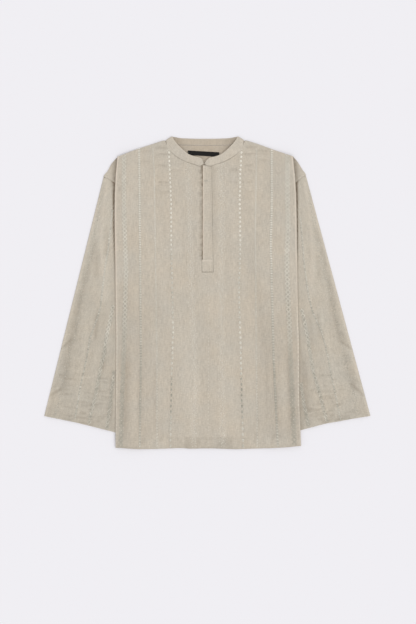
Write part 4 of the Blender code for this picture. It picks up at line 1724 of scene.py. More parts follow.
@dataclass
class CollarBand:
    """The band round the neck, open at the front."""

    plan: BodyPlan
    cloth: float = 1.6
    lap: float = 1.5
    cells: int = 2
    cell: float = 2.4
    front: tuple[BandStation, ...] = stations(
        (12.5, 308, 5.7, 11, 326.8, 6.6), (24.5, 311.7, 5.7, 25.5, 330.5, 7.2),
        (40.7, 316.8, 4.6, 39, 335.5, 7.6), (58, 324.5, 3.9, 51, 344.6, 7.7), (74, 335, 3.8, 62, 355, 7.4),
        (85, 346.5, 3.8, 70.5, 364.8, 6.4), (91.4, 358, 3.8, 75.8, 372, 5),
    )
    fold: BandStation = BandStation(95.6, 370.3, 3.8, 79.6, 380, 3.8)
    behind: tuple[BandStation, ...] = stations(
        (85, 365, 0.8, 73.5, 377.8, 0.8), (74, 361.2, 0.8, 66, 376.3, 0.8), (58, 358.9, 0.8, 54, 374.7, 0.8),
        (40.7, 358.3, 0.8, 39.5, 374.2, 0.8), (24.5, 358, 0.8, 24.5, 373.7, 0.8),
    )
    middle: BandStation = BandStation(0, 358, 0.8, 0, 373.6, 0.8)
    left_end: BandStation = BandStation(3, 311.6, 5.8, 6.5, 323.6, 6.4)
    right_end: BandStation = BandStation(-1.3, 313.3, 5.8, 4.5, 321.8, 6.4)
    right_corner: BandStation = BandStation(3.5, 308.6, 5.8, 6.6, 323.6, 6.4)

    def _station(self, side: Side, row: BandStation, way: float, lap: float) -> list[Spot]:
        """The band's points at one station, from its seam to its free edge.

        Args:
            side: the side.
            row: the station.
            way: 1 where the outer face looks up and -1 where it looks down.
            lap: how far it laps over the neckline.

        Returns:
            Middle points and outward directions.
        """
        sign = side.value
        seam = np.array([self.plan.neck_x + sign * row.seam, row.seam_y, row.seam_z])
        edge = np.array([self.plan.neck_x + sign * row.edge, row.edge_y, row.edge_z])
        level = (seam - edge) * np.array([1.0, 1.0, 0.0])
        seam = seam + level / np.linalg.norm(level) * lap
        shares = np.linspace(0.0, 1.0, self.cells + 1)
        return [(lerp(seam, edge, share).tolist(), [0.0, 0.0, way]) for share in shares]

    def _fold(self, side: Side) -> list[list[Spot]]:
        """The band's turn from its back half to its front half, beside the neck.

        Args:
            side: the side.

        Returns:
            Its stations, from the front to the back.
        """
        low, high = self.middle.seam_z, self.fold.seam_z
        radius = (high - low) / 2
        reach = radius + self.cloth / 2
        sign = side.value
        seam = np.array([self.plan.neck_x + sign * self.fold.seam, self.fold.seam_y, (low + high) / 2])
        edge = np.array([self.plan.neck_x + sign * self.fold.edge, self.fold.edge_y, (low + high) / 2])
        line = (edge - seam) / np.linalg.norm(edge - seam)
        outward = np.array([sign * line[1], -sign * line[0], 0.0])
        if outward[1] < 0.0:
            outward = -outward
        made = []
        for angle in reversed(fold_angles(3)):
            radial = outward * math.cos(angle) + np.array([0.0, 0.0, math.sin(angle)])
            mids = [lerp(seam, edge, share) for share in np.linspace(0.0, 1.0, self.cells + 1)]
            spots = [mid - outward * reach + radial * radius for mid in mids]
            made.append([(spot.tolist(), radial.tolist()) for spot in spots])
        return made

    def coarse(self) -> ClothGrid:
        """The band's stations as its solid has them.

        Returns:
            The grid.
        """
        halves = []
        for side, ends in ((Side.LEFT, [self.left_end]), (Side.RIGHT, [self.right_end, self.right_corner])):
            half = [self._station(side, row, 1.0, 0.0) for row in ends]
            half += [self._station(side, row, 1.0, self.lap) for row in self.front]
            half += self._fold(side)
            half += [self._station(side, row, -1.0, 0.0) for row in self.behind]
            halves.append(half)
        lines = halves[0] + [self._station(Side.RIGHT, self.middle, -1.0, 0.0)] + halves[1][::-1]
        mid, out = (np.array([[point[k] for point in line] for line in lines]) for k in (0, 1))
        half = np.full(mid.shape[:2], self.cloth / 2)
        live = np.ones((mid.shape[0] - 1, mid.shape[1] - 1), bool)
        along = arc_knots(mid[:, 1])[:, None]
        across = np.linspace(0.0, self.width(mid), mid.shape[1])[None, :]
        uv = np.stack([np.broadcast_to(along, half.shape), np.broadcast_to(across, half.shape)], axis=2)
        return ClothGrid(mid, out, half, half.copy(), live, uv)

    def width(self, mid: Array) -> float:
        """The band's width at its folds."""
        return float(np.linalg.norm(mid[8, -1] - mid[8, 0]))

    def grid(self) -> ClothGrid:
        """The band's fine grid, softly thinner at its free edge and pressed along its stitching.

        Returns:
            The grid.
        """
        coarse = self.coarse()
        knots = arc_knots(coarse.mid[:, 1])
        across = np.linspace(0.0, self.width(coarse.mid), self.cells + 1)
        fine = coarse.finer(knots, counts_for(knots, self.cell), across, [9] * self.cells)
        share = np.linspace(0.0, 1.0, fine.mid.shape[1])[None, :]
        in_front = fine.out[..., 2] > 0.3
        edge_round = np.sqrt(np.clip(1.0 - np.clip((share - 0.93) / 0.09, 0.0, 1.0) ** 2, 0.0, 1.0))
        pressed = 0.16 * bell(share - 0.13, 0.045) + 0.12 * bell(share - 0.88, 0.04)
        fine.half_out = fine.half_out * edge_round - pressed + 0.14 * np.sin(math.pi * share) * in_front
        fine.mid[..., 2] -= 0.55 * (bell(share, 0.22) * in_front)
        fine.half_out = fine.half_out - 0.35 * bell(share, 0.10)
        x, y = fine.mid[..., 0] - self.plan.neck_x, fine.mid[..., 1]
        # Painted light and shade: shade along its seam, the band a little paler with a highlight along its
        # front free edge, and its back half darker, most towards its corners.
        seam = np.where(in_front, 1.1 * smooth((352.0 - y) / 26.0), 0.22)
        tint = 0.10 + 0.34 * bell(1.0 - share, 0.07) * in_front - seam * bell(share, 0.05)
        fine.tint = tint - np.where(in_front, 0.0, 0.09 + 0.3 * smooth((np.abs(x) - 38.0) / 34.0))
        return fine

    def build(self, finishes: Finishes) -> tuple[Piece, ClothGrid]:
        """The band as a piece.

        Args:
            finishes: its materials.

        Returns:
            The piece and its grid.
        """
        grid = self.grid()
        piece = wall("collar_band_cloth", grid, finishes)
        declare(piece, "collar_band")
        return piece, grid


STRIP_SHARES = (0.0, 0.02, 0.06, 0.14, 0.26, 0.38, 0.5, 0.62, 0.74, 0.86, 0.94, 0.98, 1.0)


def strip_grid(
    rows: list[tuple[float, float, float]], bottom: float, thickness: float, step: float
) -> ClothGrid:
    """A flat strip with softly rounded long edges.

    Args:
        rows: level, left edge and right edge of each row.
        bottom: the height of its underside.
        thickness: its thickness.
        step: the length of its cells.

    Returns:
        Its grid.
    """
    levels = np.array([row[0] for row in rows])
    count = max(2, round((levels[-1] - levels[0]) / step))
    ys = np.unique(np.concatenate([np.linspace(levels[0], levels[-1], count + 1), levels]))
    left, right = (np.interp(ys, levels, [row[k] for row in rows]) for k in (1, 2))
    shares = np.array(STRIP_SHARES)
    x = left[:, None] + (right - left)[:, None] * shares[None, :]
    y = np.broadcast_to(ys[:, None], x.shape)
    mid = np.stack([x, y, np.full(x.shape, bottom + thickness / 2)], axis=2)
    half = np.full(x.shape, thickness / 2)
    near = np.minimum(shares, 1.0 - shares)[None, :]
    half_out = half * (0.55 + 0.45 * np.sqrt(np.clip(near / 0.08, 0.0, 1.0)))
    live = np.ones((len(ys) - 1, len(shares) - 1), bool)
    return ClothGrid(mid, facing_up(mid), half_out, half, live, np.stack([x, y], axis=2))


def facing_up(mid: Array) -> Array:
    """The outward directions of a cloth that lies level."""
    return np.zeros_like(mid) + np.array([0.0, 0.0, 1.0])


@dataclass
class Placket:
    """The stitched strip down the front's opening and the one under it."""

    plan: BodyPlan
    gap: float = 0.4
    seam: float = 0.1
    over_cloth: float = 1.6
    box_line: float = 80.3
    box_drop: float = 2.6
    over_edge: float = 10.6
    over_top: float = 309.0
    under_reach: float = 7.0
    under_end: float = 46.0

    @property
    def box_seam(self) -> float:
        """The level of the seam that closes the stitched box."""
        return self.box_line - self.box_drop

    def over_rows(self) -> list[tuple[float, float, float]]:
        """The outer strip, which widens in its stitched box to close the gap.

        Returns:
            The level, left edge and right edge of each row.
        """
        plan, rows, box = self.plan, [], self.box_line
        for y in (plan.slot_end + self.gap, box - 1.0, box + 1.0, 150.0, 220.0, self.over_top):
            left = plan.slot_left - self.seam if y < box else self.over_edge
            rows.append((y, -left, plan.slot_out(Side.RIGHT, y) - self.seam))
        return rows

    def under_rows(self) -> list[tuple[float, float, float]]:
        """The inner strip, which shows in the gap and laps under both edges.

        Returns:
            The level, left edge and right edge of each row.
        """
        plan, reach = self.plan, self.under_reach
        levels = (self.under_end, 130.0, 220.0, self.over_top)
        return [(y, -plan.slot_left - reach, plan.slot_out(Side.RIGHT, y) + reach) for y in levels]

    def _over_grid(self) -> ClothGrid:
        """The outer strip's grid, with its puckers, its pressed seams and its painted light and shade.

        Returns:
            The grid.
        """
        plan = self.plan
        grid = strip_grid(self.over_rows(), plan.pitch + plan.cloth + self.gap, self.over_cloth, 3.0)
        x, y = grid.mid[..., 0], grid.mid[..., 1]
        grid.mid[..., 2] += SoftWaves(71, 5, (30, 80), (16, 40), 0.10).at(x, y)
        for level, depth, width in ((self.box_seam, 0.28, 1.0), (plan.slot_end + 2.4, 0.25, 0.9)):
            grid.half_out -= depth * bell(y - level, width)
        left = x + np.interp(y, (79.0, 81.5), (plan.slot_left, self.over_edge))
        right = plan.slot_right.at(y) - self.gap - x
        # Painted highlight along its left edge above the box and across its box seam; painted shade beside
        # its right edge, along its left edge below the box line, just above the box and along its bottom
        # edge.
        tint = 0.9 * bell(left - 0.9, 1.5) * smooth((y - self.box_line) / 3.0)
        tint = tint - 0.14 * bell(right, 5.0) * smooth((y - 90.0) / 60.0)
        tint = tint - 0.1 * bell(left - 0.3, 1.0) * (y < self.box_line)
        tint = tint + 0.42 * bell(y - self.box_seam, 1.7) - 0.12 * bell(y - self.box_line - 1.2, 1.2)
        grid.tint = tint - 0.4 * bell(y - plan.slot_end - 0.6, 0.9)
        return grid

    def _under_grid(self) -> ClothGrid:
        """The inner strip's grid, with ragged painted shade, lighter in places, where it shows in the gap.

        Returns:
            The grid.
        """
        grid = strip_grid(self.under_rows(), self.plan.pitch, self.plan.cloth, 6.0)
        x, y = grid.mid[..., 0], grid.mid[..., 1]
        ragged = np.maximum(SoftWaves(85, 7, (4000, 9000), (5, 24), 0.6).at(x, y), -0.4)
        in_gap = 0.02 - 0.5 * smooth((y - 240.0) / 50.0) - 0.6 * ragged - 0.36 * smooth((115.0 - y) / 25.0)
        grid.tint = np.where(x < 0.0, in_gap, 0.0)
        return grid

    def build(self, wardrobe: Wardrobe) -> list[Piece]:
        """Both strips as pieces.

        Args:
            wardrobe: the shirt's materials.

        Returns:
            The outer strip and the inner one.
        """
        over = wall("placket_outer_strip", self._over_grid(), wardrobe.outside())
        declare(over, "placket_over")
        plain = Finishes(wardrobe.inside, wardrobe.inside, wardrobe.inside)
        under = wall("placket_inner_strip", self._under_grid(), plain)
        declare(under, "placket_under")
        return [over, under]


@dataclass
class NeckLabel:
    """The plain label on the inside of the back."""

    plan: BodyPlan
    x: float = -9.4
    y: float = 337.5
    width: float = 77.0
    height: float = 11.0
    turn: float = math.radians(-3.3)
    corner: float = 1.6
    stitch_in: float = 1.6
    end_cells: tuple[float, ...] = (0.0, 0.4, 1.0, 1.8)

    def spot(self, u: Any, v: Any) -> tuple[Any, Any]:
        """The place in plan of a point on the label."""
        across, along = math.cos(self.turn), math.sin(self.turn)
        return self.x + u * across - v * along, self.y + u * along + v * across

    def _cells(self, size: float, inset: float, count: int) -> Array:
        """The places of the grid's lines along one side of the label, finer at its ends."""
        ends = np.array(self.end_cells)
        return np.concatenate([ends, np.linspace(inset, size - inset, count), size - ends[::-1]])

    def build(self, wardrobe: Wardrobe) -> Piece:
        """The label as a piece, with rounded corners and a raised border.

        Args:
            wardrobe: the shirt's materials.

        Returns:
            The piece.
        """
        across, along = self._cells(self.width, 3.2, 34), self._cells(self.height, 2.8, 5)
        u, v = np.meshgrid(across - self.width / 2, along - self.height / 2)
        near = np.clip(self.corner - (self.height / 2 - np.abs(v)), 0.0, self.corner)
        inset = self.corner - np.sqrt(np.maximum(self.corner**2 - near**2, 0.0))
        u = u * (1.0 - inset / (self.width / 2))
        x, y = self.spot(u, v)
        mid = np.stack([x, y, np.full(x.shape, self.plan.upper_mid)], axis=2)
        mid[..., 2] += SoftWaves(5, 4, (25, 60), (20, 50), 0.05).at(x, y)
        half = np.full(x.shape, self.plan.cloth / 2)
        edge = np.minimum(self.width / 2 - np.abs(u), self.height / 2 - np.abs(v))
        half_out = half - 0.15 + 0.15 * smooth((1.8 - edge) / 0.8) - 0.2 * smooth((0.5 - edge) / 0.5)
        live = np.ones((x.shape[0] - 1, x.shape[1] - 1), bool)
        grid = ClothGrid(mid, facing_up(mid), half_out, half, live, np.stack([u, v], axis=2))
        piece = wall("neck_label", grid, Finishes(wardrobe.label, wardrobe.label, wardrobe.label))
        declare(piece, "label")
        return piece


# Threads laid on the cloth


class SurfaceProbe:
    """Finds the top of some pieces under a place in plan."""

    def __init__(self, pieces: Sequence[Piece]) -> None:
        """Reads the pieces' meshes.

        Args:
            pieces: the pieces to look down on.
        """
        points: list[Vector] = []
        faces: list[list[int]] = []
        for piece in pieces:
            offset = len(points)
            points += [piece.matrix_world @ vert.co for vert in piece.data.vertices]
            faces += [[offset + number for number in face.vertices] for face in piece.data.polygons]
        self.tree = BVHTree.FromPolygons(points, faces)

    def height(self, x: float, y: float) -> float | None:
        """The height of the top face in millimetres, or None beside the pieces."""
        hit = self.tree.ray_cast(Vector((x * MM, y * MM, 0.1)), Vector((0.0, 0.0, -1.0)))[0]
        return None if hit is None else hit.z / MM


@dataclass(frozen=True)
class Thread:
    """One length of thread that lies on the cloth between two places."""

    x0: float
    y0: float
    x1: float
    y1: float
    width: float
    height: float
    # How light it is painted, from the thread's painted-shade grey to its painted-highlight cream.
    tone: float


class ThreadLayer:
    """Many lengths of thread as one piece."""

    SHARES = (0.0, 0.12, 0.88, 1.0)
    SINK = 0.22
    LEAST = 1.2
    STEEPEST = 2.5
    SHORTEST = 1e-6
    SHOULDER = 0.15
    CORNERS = 10
    ENDS = ((0, 2, 1), (0, 3, 2), (0, 4, 3), (0, 1, 4), (9, 5, 6), (9, 6, 7), (9, 7, 8), (9, 8, 5))
    SIDES = ((1, 2, 6, 5), (2, 3, 7, 6), (3, 4, 8, 7), (4, 1, 5, 8))

    def __init__(self, name: str, probe: SurfaceProbe) -> None:
        """Starts an empty layer.

        Args:
            name: the piece's name.
            probe: the cloth that it lies on.
        """
        self.name = name
        self.probe = probe
        self.points: list[tuple[float, float, float]] = []
        self.tones: list[float] = []

    def lay(self, threads: Iterable[Thread]) -> None:
        """Lays each thread whose whole length has cloth under it.

        Args:
            threads: the threads.
        """
        for thread in threads:
            dx, dy = thread.x1 - thread.x0, thread.y1 - thread.y0
            length = math.hypot(dx, dy)
            if length < self.SHORTEST:
                continue
            side_x, side_y = -dy / length * thread.width / 2, dx / length * thread.width / 2
            spots = [(thread.x0 + dx * share, thread.y0 + dy * share) for share in self.SHARES]
            heights = [self.probe.height(*spot) for spot in spots]
            if None in heights or max(heights) - min(heights) > self.STEEPEST or min(heights) < self.LEAST:
                continue
            shoulder, low = thread.height * self.SHOULDER, self.SINK * 0.5
            self.points.append((*spots[0], heights[0] - low))
            for (px, py), pz in zip(spots[1:3], heights[1:3]):
                self.points += [
                    (px + side_x, py + side_y, pz + shoulder),
                    (px, py, pz + thread.height),
                    (px - side_x, py - side_y, pz + shoulder),
                    (px, py, pz - self.SINK),
                ]
            self.points.append((*spots[3], heights[3] - low))
            self.tones += [thread.tone] * self.CORNERS

    def build(self, material: Material) -> Piece:
        """The layer as one piece.

        Args:
            material: the thread's material.

        Returns:
            The piece.
        """
        count = len(self.points) // self.CORNERS
        faces = []
        for i in range(count):
            faces += [tuple(self.CORNERS * i + n for n in face) for face in (*self.ENDS, *self.SIDES)]
        piece = mesh_object(self.name, np.array(self.points), faces, (material,))
        keep_values(piece, "tone", np.array(self.tones, np.float32))
        piece.data.shade_smooth()
        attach(piece, BODY)
        LOG.info("%s: %d threads", self.name, count)
        return piece


class Pattern(Enum):
    """The ways that a stripe is embroidered."""

    LATTICE = "two zigzags that cross into a chain of diamonds"
    LADDER = "a chain stitch with short bars across it"
    RUN = "small slanted stitches in a line"
    DOTS = "satin dots with a small spur at each side"
    SCATTER = "a wide band of seed stitches"
    BEADS = "single seed stitches"


@dataclass(frozen=True)
class Bit:
    """One stitch of a motif, from its middle, with its share of the stripe's height."""

    x0: float
    y0: float
    x1: float
    y1: float
    width: float
    share: float = 1.0
    second: bool = False


REPEAT_GROWTH = track((-380, 1.33), (-290, 1.285), (-155, 1.18), (0, 1.13), (225, 1), (360, 0.97))
DOT_SHARES = (0.5, 0.85, 1.0, 1.0, 0.85, 0.5)
BOTH = (-1.0, 1.0)


def dots(half: float, step: float) -> list[Bit]:
    """A satin dot with a spur at each side.

    Args:
        half: half the stripe's width here.
        step: the length of the repeat.

    Returns:
        Its stitches.
    """
    rise, mid = 0.56 * step / len(DOT_SHARES), step / 2
    made = []
    for i, k in enumerate(DOT_SHARES):
        level = rise * (i - 2.5)
        made.append(Bit(-half * k, level, half * k, level + 0.2, rise * 1.25, 0.7 + 0.3 * k))
    for sign in BOTH:
        made.append(Bit(sign * (half + 0.9), mid - 1.2, sign * (half - 0.4), mid + 1.2, 0.9, 0.6, True))
    return made


def lattice(half: float, mid: float) -> list[Bit]:
    """One diamond of two crossed zigzags, with a knot in its middle and at its corners.

    Args:
        half: half the stripe's width here.
        mid: half the length of the repeat.

    Returns:
        Its stitches.
    """
    made = [Bit(shift, -1.7, shift, 1.7, 1.6, 0.35, True) for shift in (-0.8, 0.8)]
    for sign in BOTH:
        inner, outer = sign * -0.5, sign * (half + 0.5)
        for shift in (-0.45, 0.45):
            made.append(Bit(inner, -mid - 0.4 + shift, outer, shift + 0.4, 1.15, 0.9))
            made.append(Bit(outer, shift - 0.4, inner, mid + 0.4 + shift, 1.15, 1.0))
        made.append(Bit(sign * (half + 0.4), mid - 1.3, sign * (half - 0.6), mid + 1.3, 1.4, 0.6, True))
    return made


def ladder(half: float, mid: float) -> list[Bit]:
    """One link of a chain stitch with its bars.

    Args:
        half: half the stripe's width here.
        mid: half the length of the repeat.

    Returns:
        Its stitches.
    """
    made = [Bit(shift, -mid * 0.62, -shift, mid * 0.36, 2.3) for shift in (-0.8, 0.8)]
    made += [Bit(-half, rise, half, rise + 0.3, 1.1, 0.55, True) for rise in (mid * 0.6, mid * 0.6 + 0.8)]
    return [*made, Bit(-half * 0.6, -mid * 0.25, half, -mid * 0.1, 1.7, 0.6)]


def run(half: float, mid: float) -> list[Bit]:
    """A slanted stitch and its answer.

    Args:
        half: half the stripe's width here.
        mid: half the length of the repeat.

    Returns:
        Its stitches.
    """
    first = Bit(-half, -mid * 0.6, half, mid * 0.15, 1.7)
    return [first, Bit(half * 1.3, mid * 0.3, -half * 1.3, mid * 0.8, 1.2, 0.7, True)]


def scatter(half: float, mid: float) -> list[Bit]:
    """A few seed stitches.

    Args:
        half: half the stripe's width here.
        mid: half the length of the repeat.

    Returns:
        Its stitches.
    """
    made = [Bit(-0.6, -0.8, 0.6, 0.8, 1.9)]
    for sign in BOTH:
        wide, near = sign * half * 0.8, sign * half * 0.4
        made.append(Bit(wide, -mid * 0.6, wide - 0.6, -mid * 0.6 + 1.5, 1.6))
        made.append(Bit(near, mid * 0.5, near + 0.8, mid * 0.5 + 1.3, 1.5, 0.8, True))
    return made


@dataclass(frozen=True)
class Stripe:
    """One embroidered stripe: its route, its width and how light its two threads are painted along it, as
    their painted sheen and shade.
    """

    pattern: Pattern
    route: Track
    width: float
    tone: Track
    second: Track
    pitch: float = 10.5
    height: float = 0.5
    patchy: float = 0.06

    def threads(self, seed: int) -> Iterator[Thread]:
        """Every thread of the stripe, from the bottom up.

        Args:
            seed: the seed of its small unevenness.

        Returns:
            The threads.
        """
        draws = np.random.default_rng(seed)
        y, high = self.route.span()
        y += 2.0
        while y < high:
            step = self.pitch * float(REPEAT_GROWTH.at(y))
            x = float(self.route.at(y)) + draws.normal(0.0, 0.22)
            lean = (float(self.route.at(y + 2.0)) - float(self.route.at(y - 2.0))) / 4.0
            uneven = draws.normal(0.0, 0.04)
            narrow = 0.66 + 0.34 * float(self.tone.at(y)) if self.pattern is Pattern.DOTS else 1.0
            for bit in self._motif(step, narrow):
                stray = draws.normal(0.0, 2.2) if self.pattern is Pattern.SCATTER else 0.0
                light = self.second if bit.second else self.tone
                tone = float(np.clip(light.at(y) + uneven + draws.normal(0.0, self.patchy), 0.0, 1.0))
                x0, x1 = x + stray + bit.x0 + lean * bit.y0, x + stray + bit.x1 + lean * bit.y1
                yield Thread(x0, y + bit.y0, x1, y + bit.y1, bit.width, self.height * bit.share, tone)
            y += step

    def _motif(self, step: float, narrow: float) -> list[Bit]:
        """The stitches of one repeat.

        Args:
            step: the length of the repeat here.
            narrow: the share of its full width that it has here.

        Returns:
            Its stitches.
        """
        half = self.width * narrow / 2
        if self.pattern is Pattern.DOTS:
            return dots(half, step)
        if self.pattern is Pattern.BEADS:
            return [Bit(-self.width * 0.2, -1.5, self.width * 0.2, 1.5, self.width * 0.6)]
        if self.pattern is Pattern.LATTICE:
            return lattice(half, step / 2)
        if self.pattern is Pattern.LADDER:
            return ladder(half, step / 2)
        return run(half, step / 2) if self.pattern is Pattern.RUN else scatter(half, step / 2)


@dataclass(frozen=True)
class StitchLine:
    """A row of sewing stitches along a line in plan."""

    path: Line
    # How light the stitches are painted, from the thread's painted-shade grey to its painted-highlight cream.
    tone: float = 0.55
    length: float = 2.6
    gap: float = 0.9
    width: float = 0.55
    height: float = 0.2

    def threads(self) -> Iterator[Thread]:
        """Each stitch from one end to the other.

        Returns:
            The stitches as threads.
        """
        points = np.array(self.path)
        knots = arc_knots(points)
        place = self.gap / 2
        while place + self.length < knots[-1]:
            x0, x1 = (float(np.interp(p, knots, points[:, 0])) for p in (place, place + self.length))
            y0, y1 = (float(np.interp(p, knots, points[:, 1])) for p in (place, place + self.length))
            yield Thread(x0, y0, x1, y1, self.width, self.height, self.tone)
            place += self.length + self.gap


SECOND_SIDE = (1.0, 1.12)
FRONT_ROUTES: tuple[tuple[Line, Line], ...] = (
    (
        ((342, -201.9), (222, -201.9), (123, -199.5), (48.5, -197), (-42, -199.5), (-138, -201.9),
         (-258, -206.6), (-372, -209.5)),
        ((345, 194.2), (222, 194.2), (148, 195.6), (98, 192.9), (48.5, 192.9), (-370, 211.4)),
    ),
    (
        ((352, -166), (250, -164.5), (-161, -161.1), (-374, -164)),
        ((348, 155.8), (222, 155.8), (123, 153.3), (-150, 160), (-372, 170.6)),
    ),
    (
        ((350, -132.4), (294, -129), (245, -128), (-150, -122.5), (-374, -122.5)),
        ((350, 119.5), (222, 117.4), (148, 116.2), (-374, 121)),
    ),
    (
        ((360, -94), (225, -88.2), (116, -87.5), (-91, -83), (-190, -86.5), (-283, -88), (-374, -89.6)),
        ((357, 84), (289, 79.7), (222, 78.5), (123, 79.7), (61, 79), (24, 76.5), (-374, 86.8)),
    ),
    SEED_ROUTES,
)
SLEEVE_ROUTES: dict[Side, tuple[Line, ...]] = {
    Side.LEFT: (
        ((250, -254), (180, -267), (115.8, -278), (74.5, -286.7), (40.5, -295.5), (-2.3, -306), (-83.5, -316),
         (-132, -330), (-181, -340.7), (-282, -364), (-296, -367.5)),
        ((200, -230.5), (161, -234.7), (103.6, -241), (67.2, -247.5), (6.4, -254.5), (-38.8, -260),
         (-73.5, -271.2), (-111.7, -285), (-163.7, -293.8), (-219.3, -306), (-306, -321.5)),
        ((-28.3, -227.5), (-83.5, -239.9), (-122.1, -246.9), (-156.4, -252), (-184.6, -259), (-212.3, -264.1),
         (-247, -271.2), (-316, -287.5)),
        ((-190, -226.5), (-212, -228.5), (-239, -232), (-281.8, -237), (-328, -244)),
    ),
    Side.RIGHT: (
        ((250, 246), (180, 258), (101.9, 270), (67.2, 280.4), (15.2, 294.3), (-49.2, 310), (-111.7, 325.6),
         (-212.3, 344.6), (-240, 353), (-296, 366)),
        ((180, 226), (60, 236), (-10, 246), (-49.2, 256.1), (-69.9, 266), (-90.8, 276), (-132.3, 287.5),
         (-167, 294.3), (-212.3, 303), (-243.6, 310), (-308, 322.5)),
        ((-40, 228.5), (-76.9, 237.2), (-111.7, 244), (-156.6, 251), (-191.3, 256.5), (-212.3, 263),
         (-253.8, 275.3), (-314, 290.5)),
        ((-215, 227), (-233.2, 228.5), (-267.9, 234), (-322, 245.5)),
    ),
}


@dataclass
class Embroidery:
    """Every stripe of the front and the sleeves."""

    # Each track gives how light a stripe's threads are painted along the level: their painted sheen where
    # lighter and painted shade where darker, with the lattices' knots (holes, pits) painted dark as the shade
    # in their hollows.
    dots: Track = track(
        (-380, 0.5), (-335, 0.7), (-300, 0.4), (-283, 0.14), (-215, 0.14), (-195, 0.62), (-81, 0.82),
        (-60, 0.58), (60, 0.6), (100, 0.68), (125, 0.86), (360, 0.92),
    )
    spurs: Track = track((-380, 0.3), (-283, 0.04), (-205, 0.1), (-180, 0.5), (120, 0.55), (340, 0.66))
    chain: Track = track(
        (-380, 0.5), (-330, 0.44), (-300, 0.24), (-200, 0.24), (-150, 0.34), (-100, 0.5), (40, 0.64),
        (90, 0.96), (340, 1),
    )
    bars: Track = track(
        (-380, 0.3), (-300, 0.12), (-130, 0.14), (-60, 0.2), (60, 0.26), (120, 0.28), (340, 0.3),
    )
    net: Track = track(
        (-380, 0.08), (-220, 0.12), (-150, 0.26), (-70, 0.46), (0, 0.53), (60, 0.63), (140, 0.66),
        (190, 0.58), (345, 0.57),
    )
    holes: Track = track(
        (-380, 0.36), (-220, 0.27), (-140, 0.18), (-60, 0.08), (20, 0.24), (100, 0.42), (345, 0.46),
    )
    faint: Track = track((-380, 0.7), (-180, 0.72), (-60, 0.7), (60, 0.72), (290, 0.7))
    fainter: Track = track((-380, 0.62), (-60, 0.64), (290, 0.56))
    line: Track = track(
        (-380, 0.6), (-180, 0.55), (-60, 0.5), (60, 0.6), (120, 0.85), (285, 0.84), (315, 0.62), (345, 0.58),
    )
    in_shade: Track = track((-380, 0.08), (-150, 0.08), (150, 0.25))
    quiet: Track = track((-330, 0.38), (-120, 0.33), (-40, 0.36), (0, 0.48), (200, 0.5))
    rungs: Track = track((-330, 0.3), (-100, 0.27), (-60, 0.12), (-30, 0.3), (0, 0.46), (200, 0.47))
    specks: Track = track((-340, 0.25), (-190, 0.27))
    pits: Track = track((-340, 0.1), (200, 0.05))
    sleeve_patchy: float = 0.17
    front_seed: int = 100
    sleeve_seed: int = 200

    def front_stripes(self) -> list[Stripe]:
        """The front's stripes, each on the left and then on the right.

        Returns:
            The stripes.
        """
        kinds = (
            (Pattern.LATTICE, 10.4, self.net, self.holes, 9.2, 0.5),
            (Pattern.LADDER, 6.6, self.chain, self.bars, 5.5, 0.45),
            (Pattern.RUN, 3.2, self.line, self.fainter, 5.4, 0.35),
            (Pattern.DOTS, 6.2, self.dots, self.spurs, 10.55, 0.7),
            (Pattern.SCATTER, 12.0, self.faint, self.fainter, 4.7, 0.3),
        )
        made = []
        for (pattern, width, tone, second, pitch, height), pair_of in zip(kinds, FRONT_ROUTES):
            for route, share in zip(pair_of, SECOND_SIDE):
                made.append(Stripe(pattern, Track(route), width * share, tone, second, pitch, height))
        middle = track((30, 4), (-374, 1.7))
        made.append(Stripe(Pattern.BEADS, middle, 1.8, self.faint, self.faint, 7.0, 0.35))
        return made

    def sleeve_stripes(self, side: Side) -> list[Stripe]:
        """One sleeve's stripes, from its outer edge inwards.

        Args:
            side: the sleeve's side.

        Returns:
            The stripes.
        """
        # On the right sleeve the lattice's painted sheen is a little weaker partway down.
        fade = 0.0 if side is Side.LEFT else 0.09
        light = track(
            (-340, 0.26), (-220, 0.28), (-165, 0.36), (-110, 0.5 - fade), (-70, 0.55 - fade), (160, 0.55),
        )
        kinds = (
            (Pattern.SCATTER, 8.0, self.in_shade, self.quiet, 6.4, 0.3),
            (Pattern.LADDER, 5.2, self.quiet, self.rungs, 6.0, 0.3),
            (Pattern.LATTICE, 8.2, light, self.pits, 9.2, 0.45),
            (Pattern.LATTICE, 8.6, self.specks, self.pits, 9.4, 0.45),
        )
        made = []
        for (pattern, width, tone, second, pitch, height), route in zip(kinds, SLEEVE_ROUTES[side]):
            made.append(Stripe(pattern, Track(route), width, tone, second, pitch, height, self.sleeve_patchy))
        return made

    def build(
        self, material: Material, front: SurfaceProbe, sleeves: dict[Side, tuple[Sleeve, SurfaceProbe]]
    ) -> dict[str, Piece]:
        """All the embroidery.

        Args:
            material: the thread's material.
            front: the front's surface.
            sleeves: each sleeve and its surface.

        Returns:
            The pieces by name.
        """
        layer = ThreadLayer("embroidery_front", front)
        for number, stripe in enumerate(self.front_stripes()):
            layer.lay(stripe.threads(self.front_seed + number))
        made = {layer.name: layer.build(material)}
        for side, (sleeve, probe) in sleeves.items():
            layer = ThreadLayer("embroidery_" + sleeve.name, probe)
            for number, stripe in enumerate(self.sleeve_stripes(side)):
                layer.lay(stripe.threads(self.sleeve_seed + number + int(side.value)))
            made[layer.name] = layer.build(material)
        return made


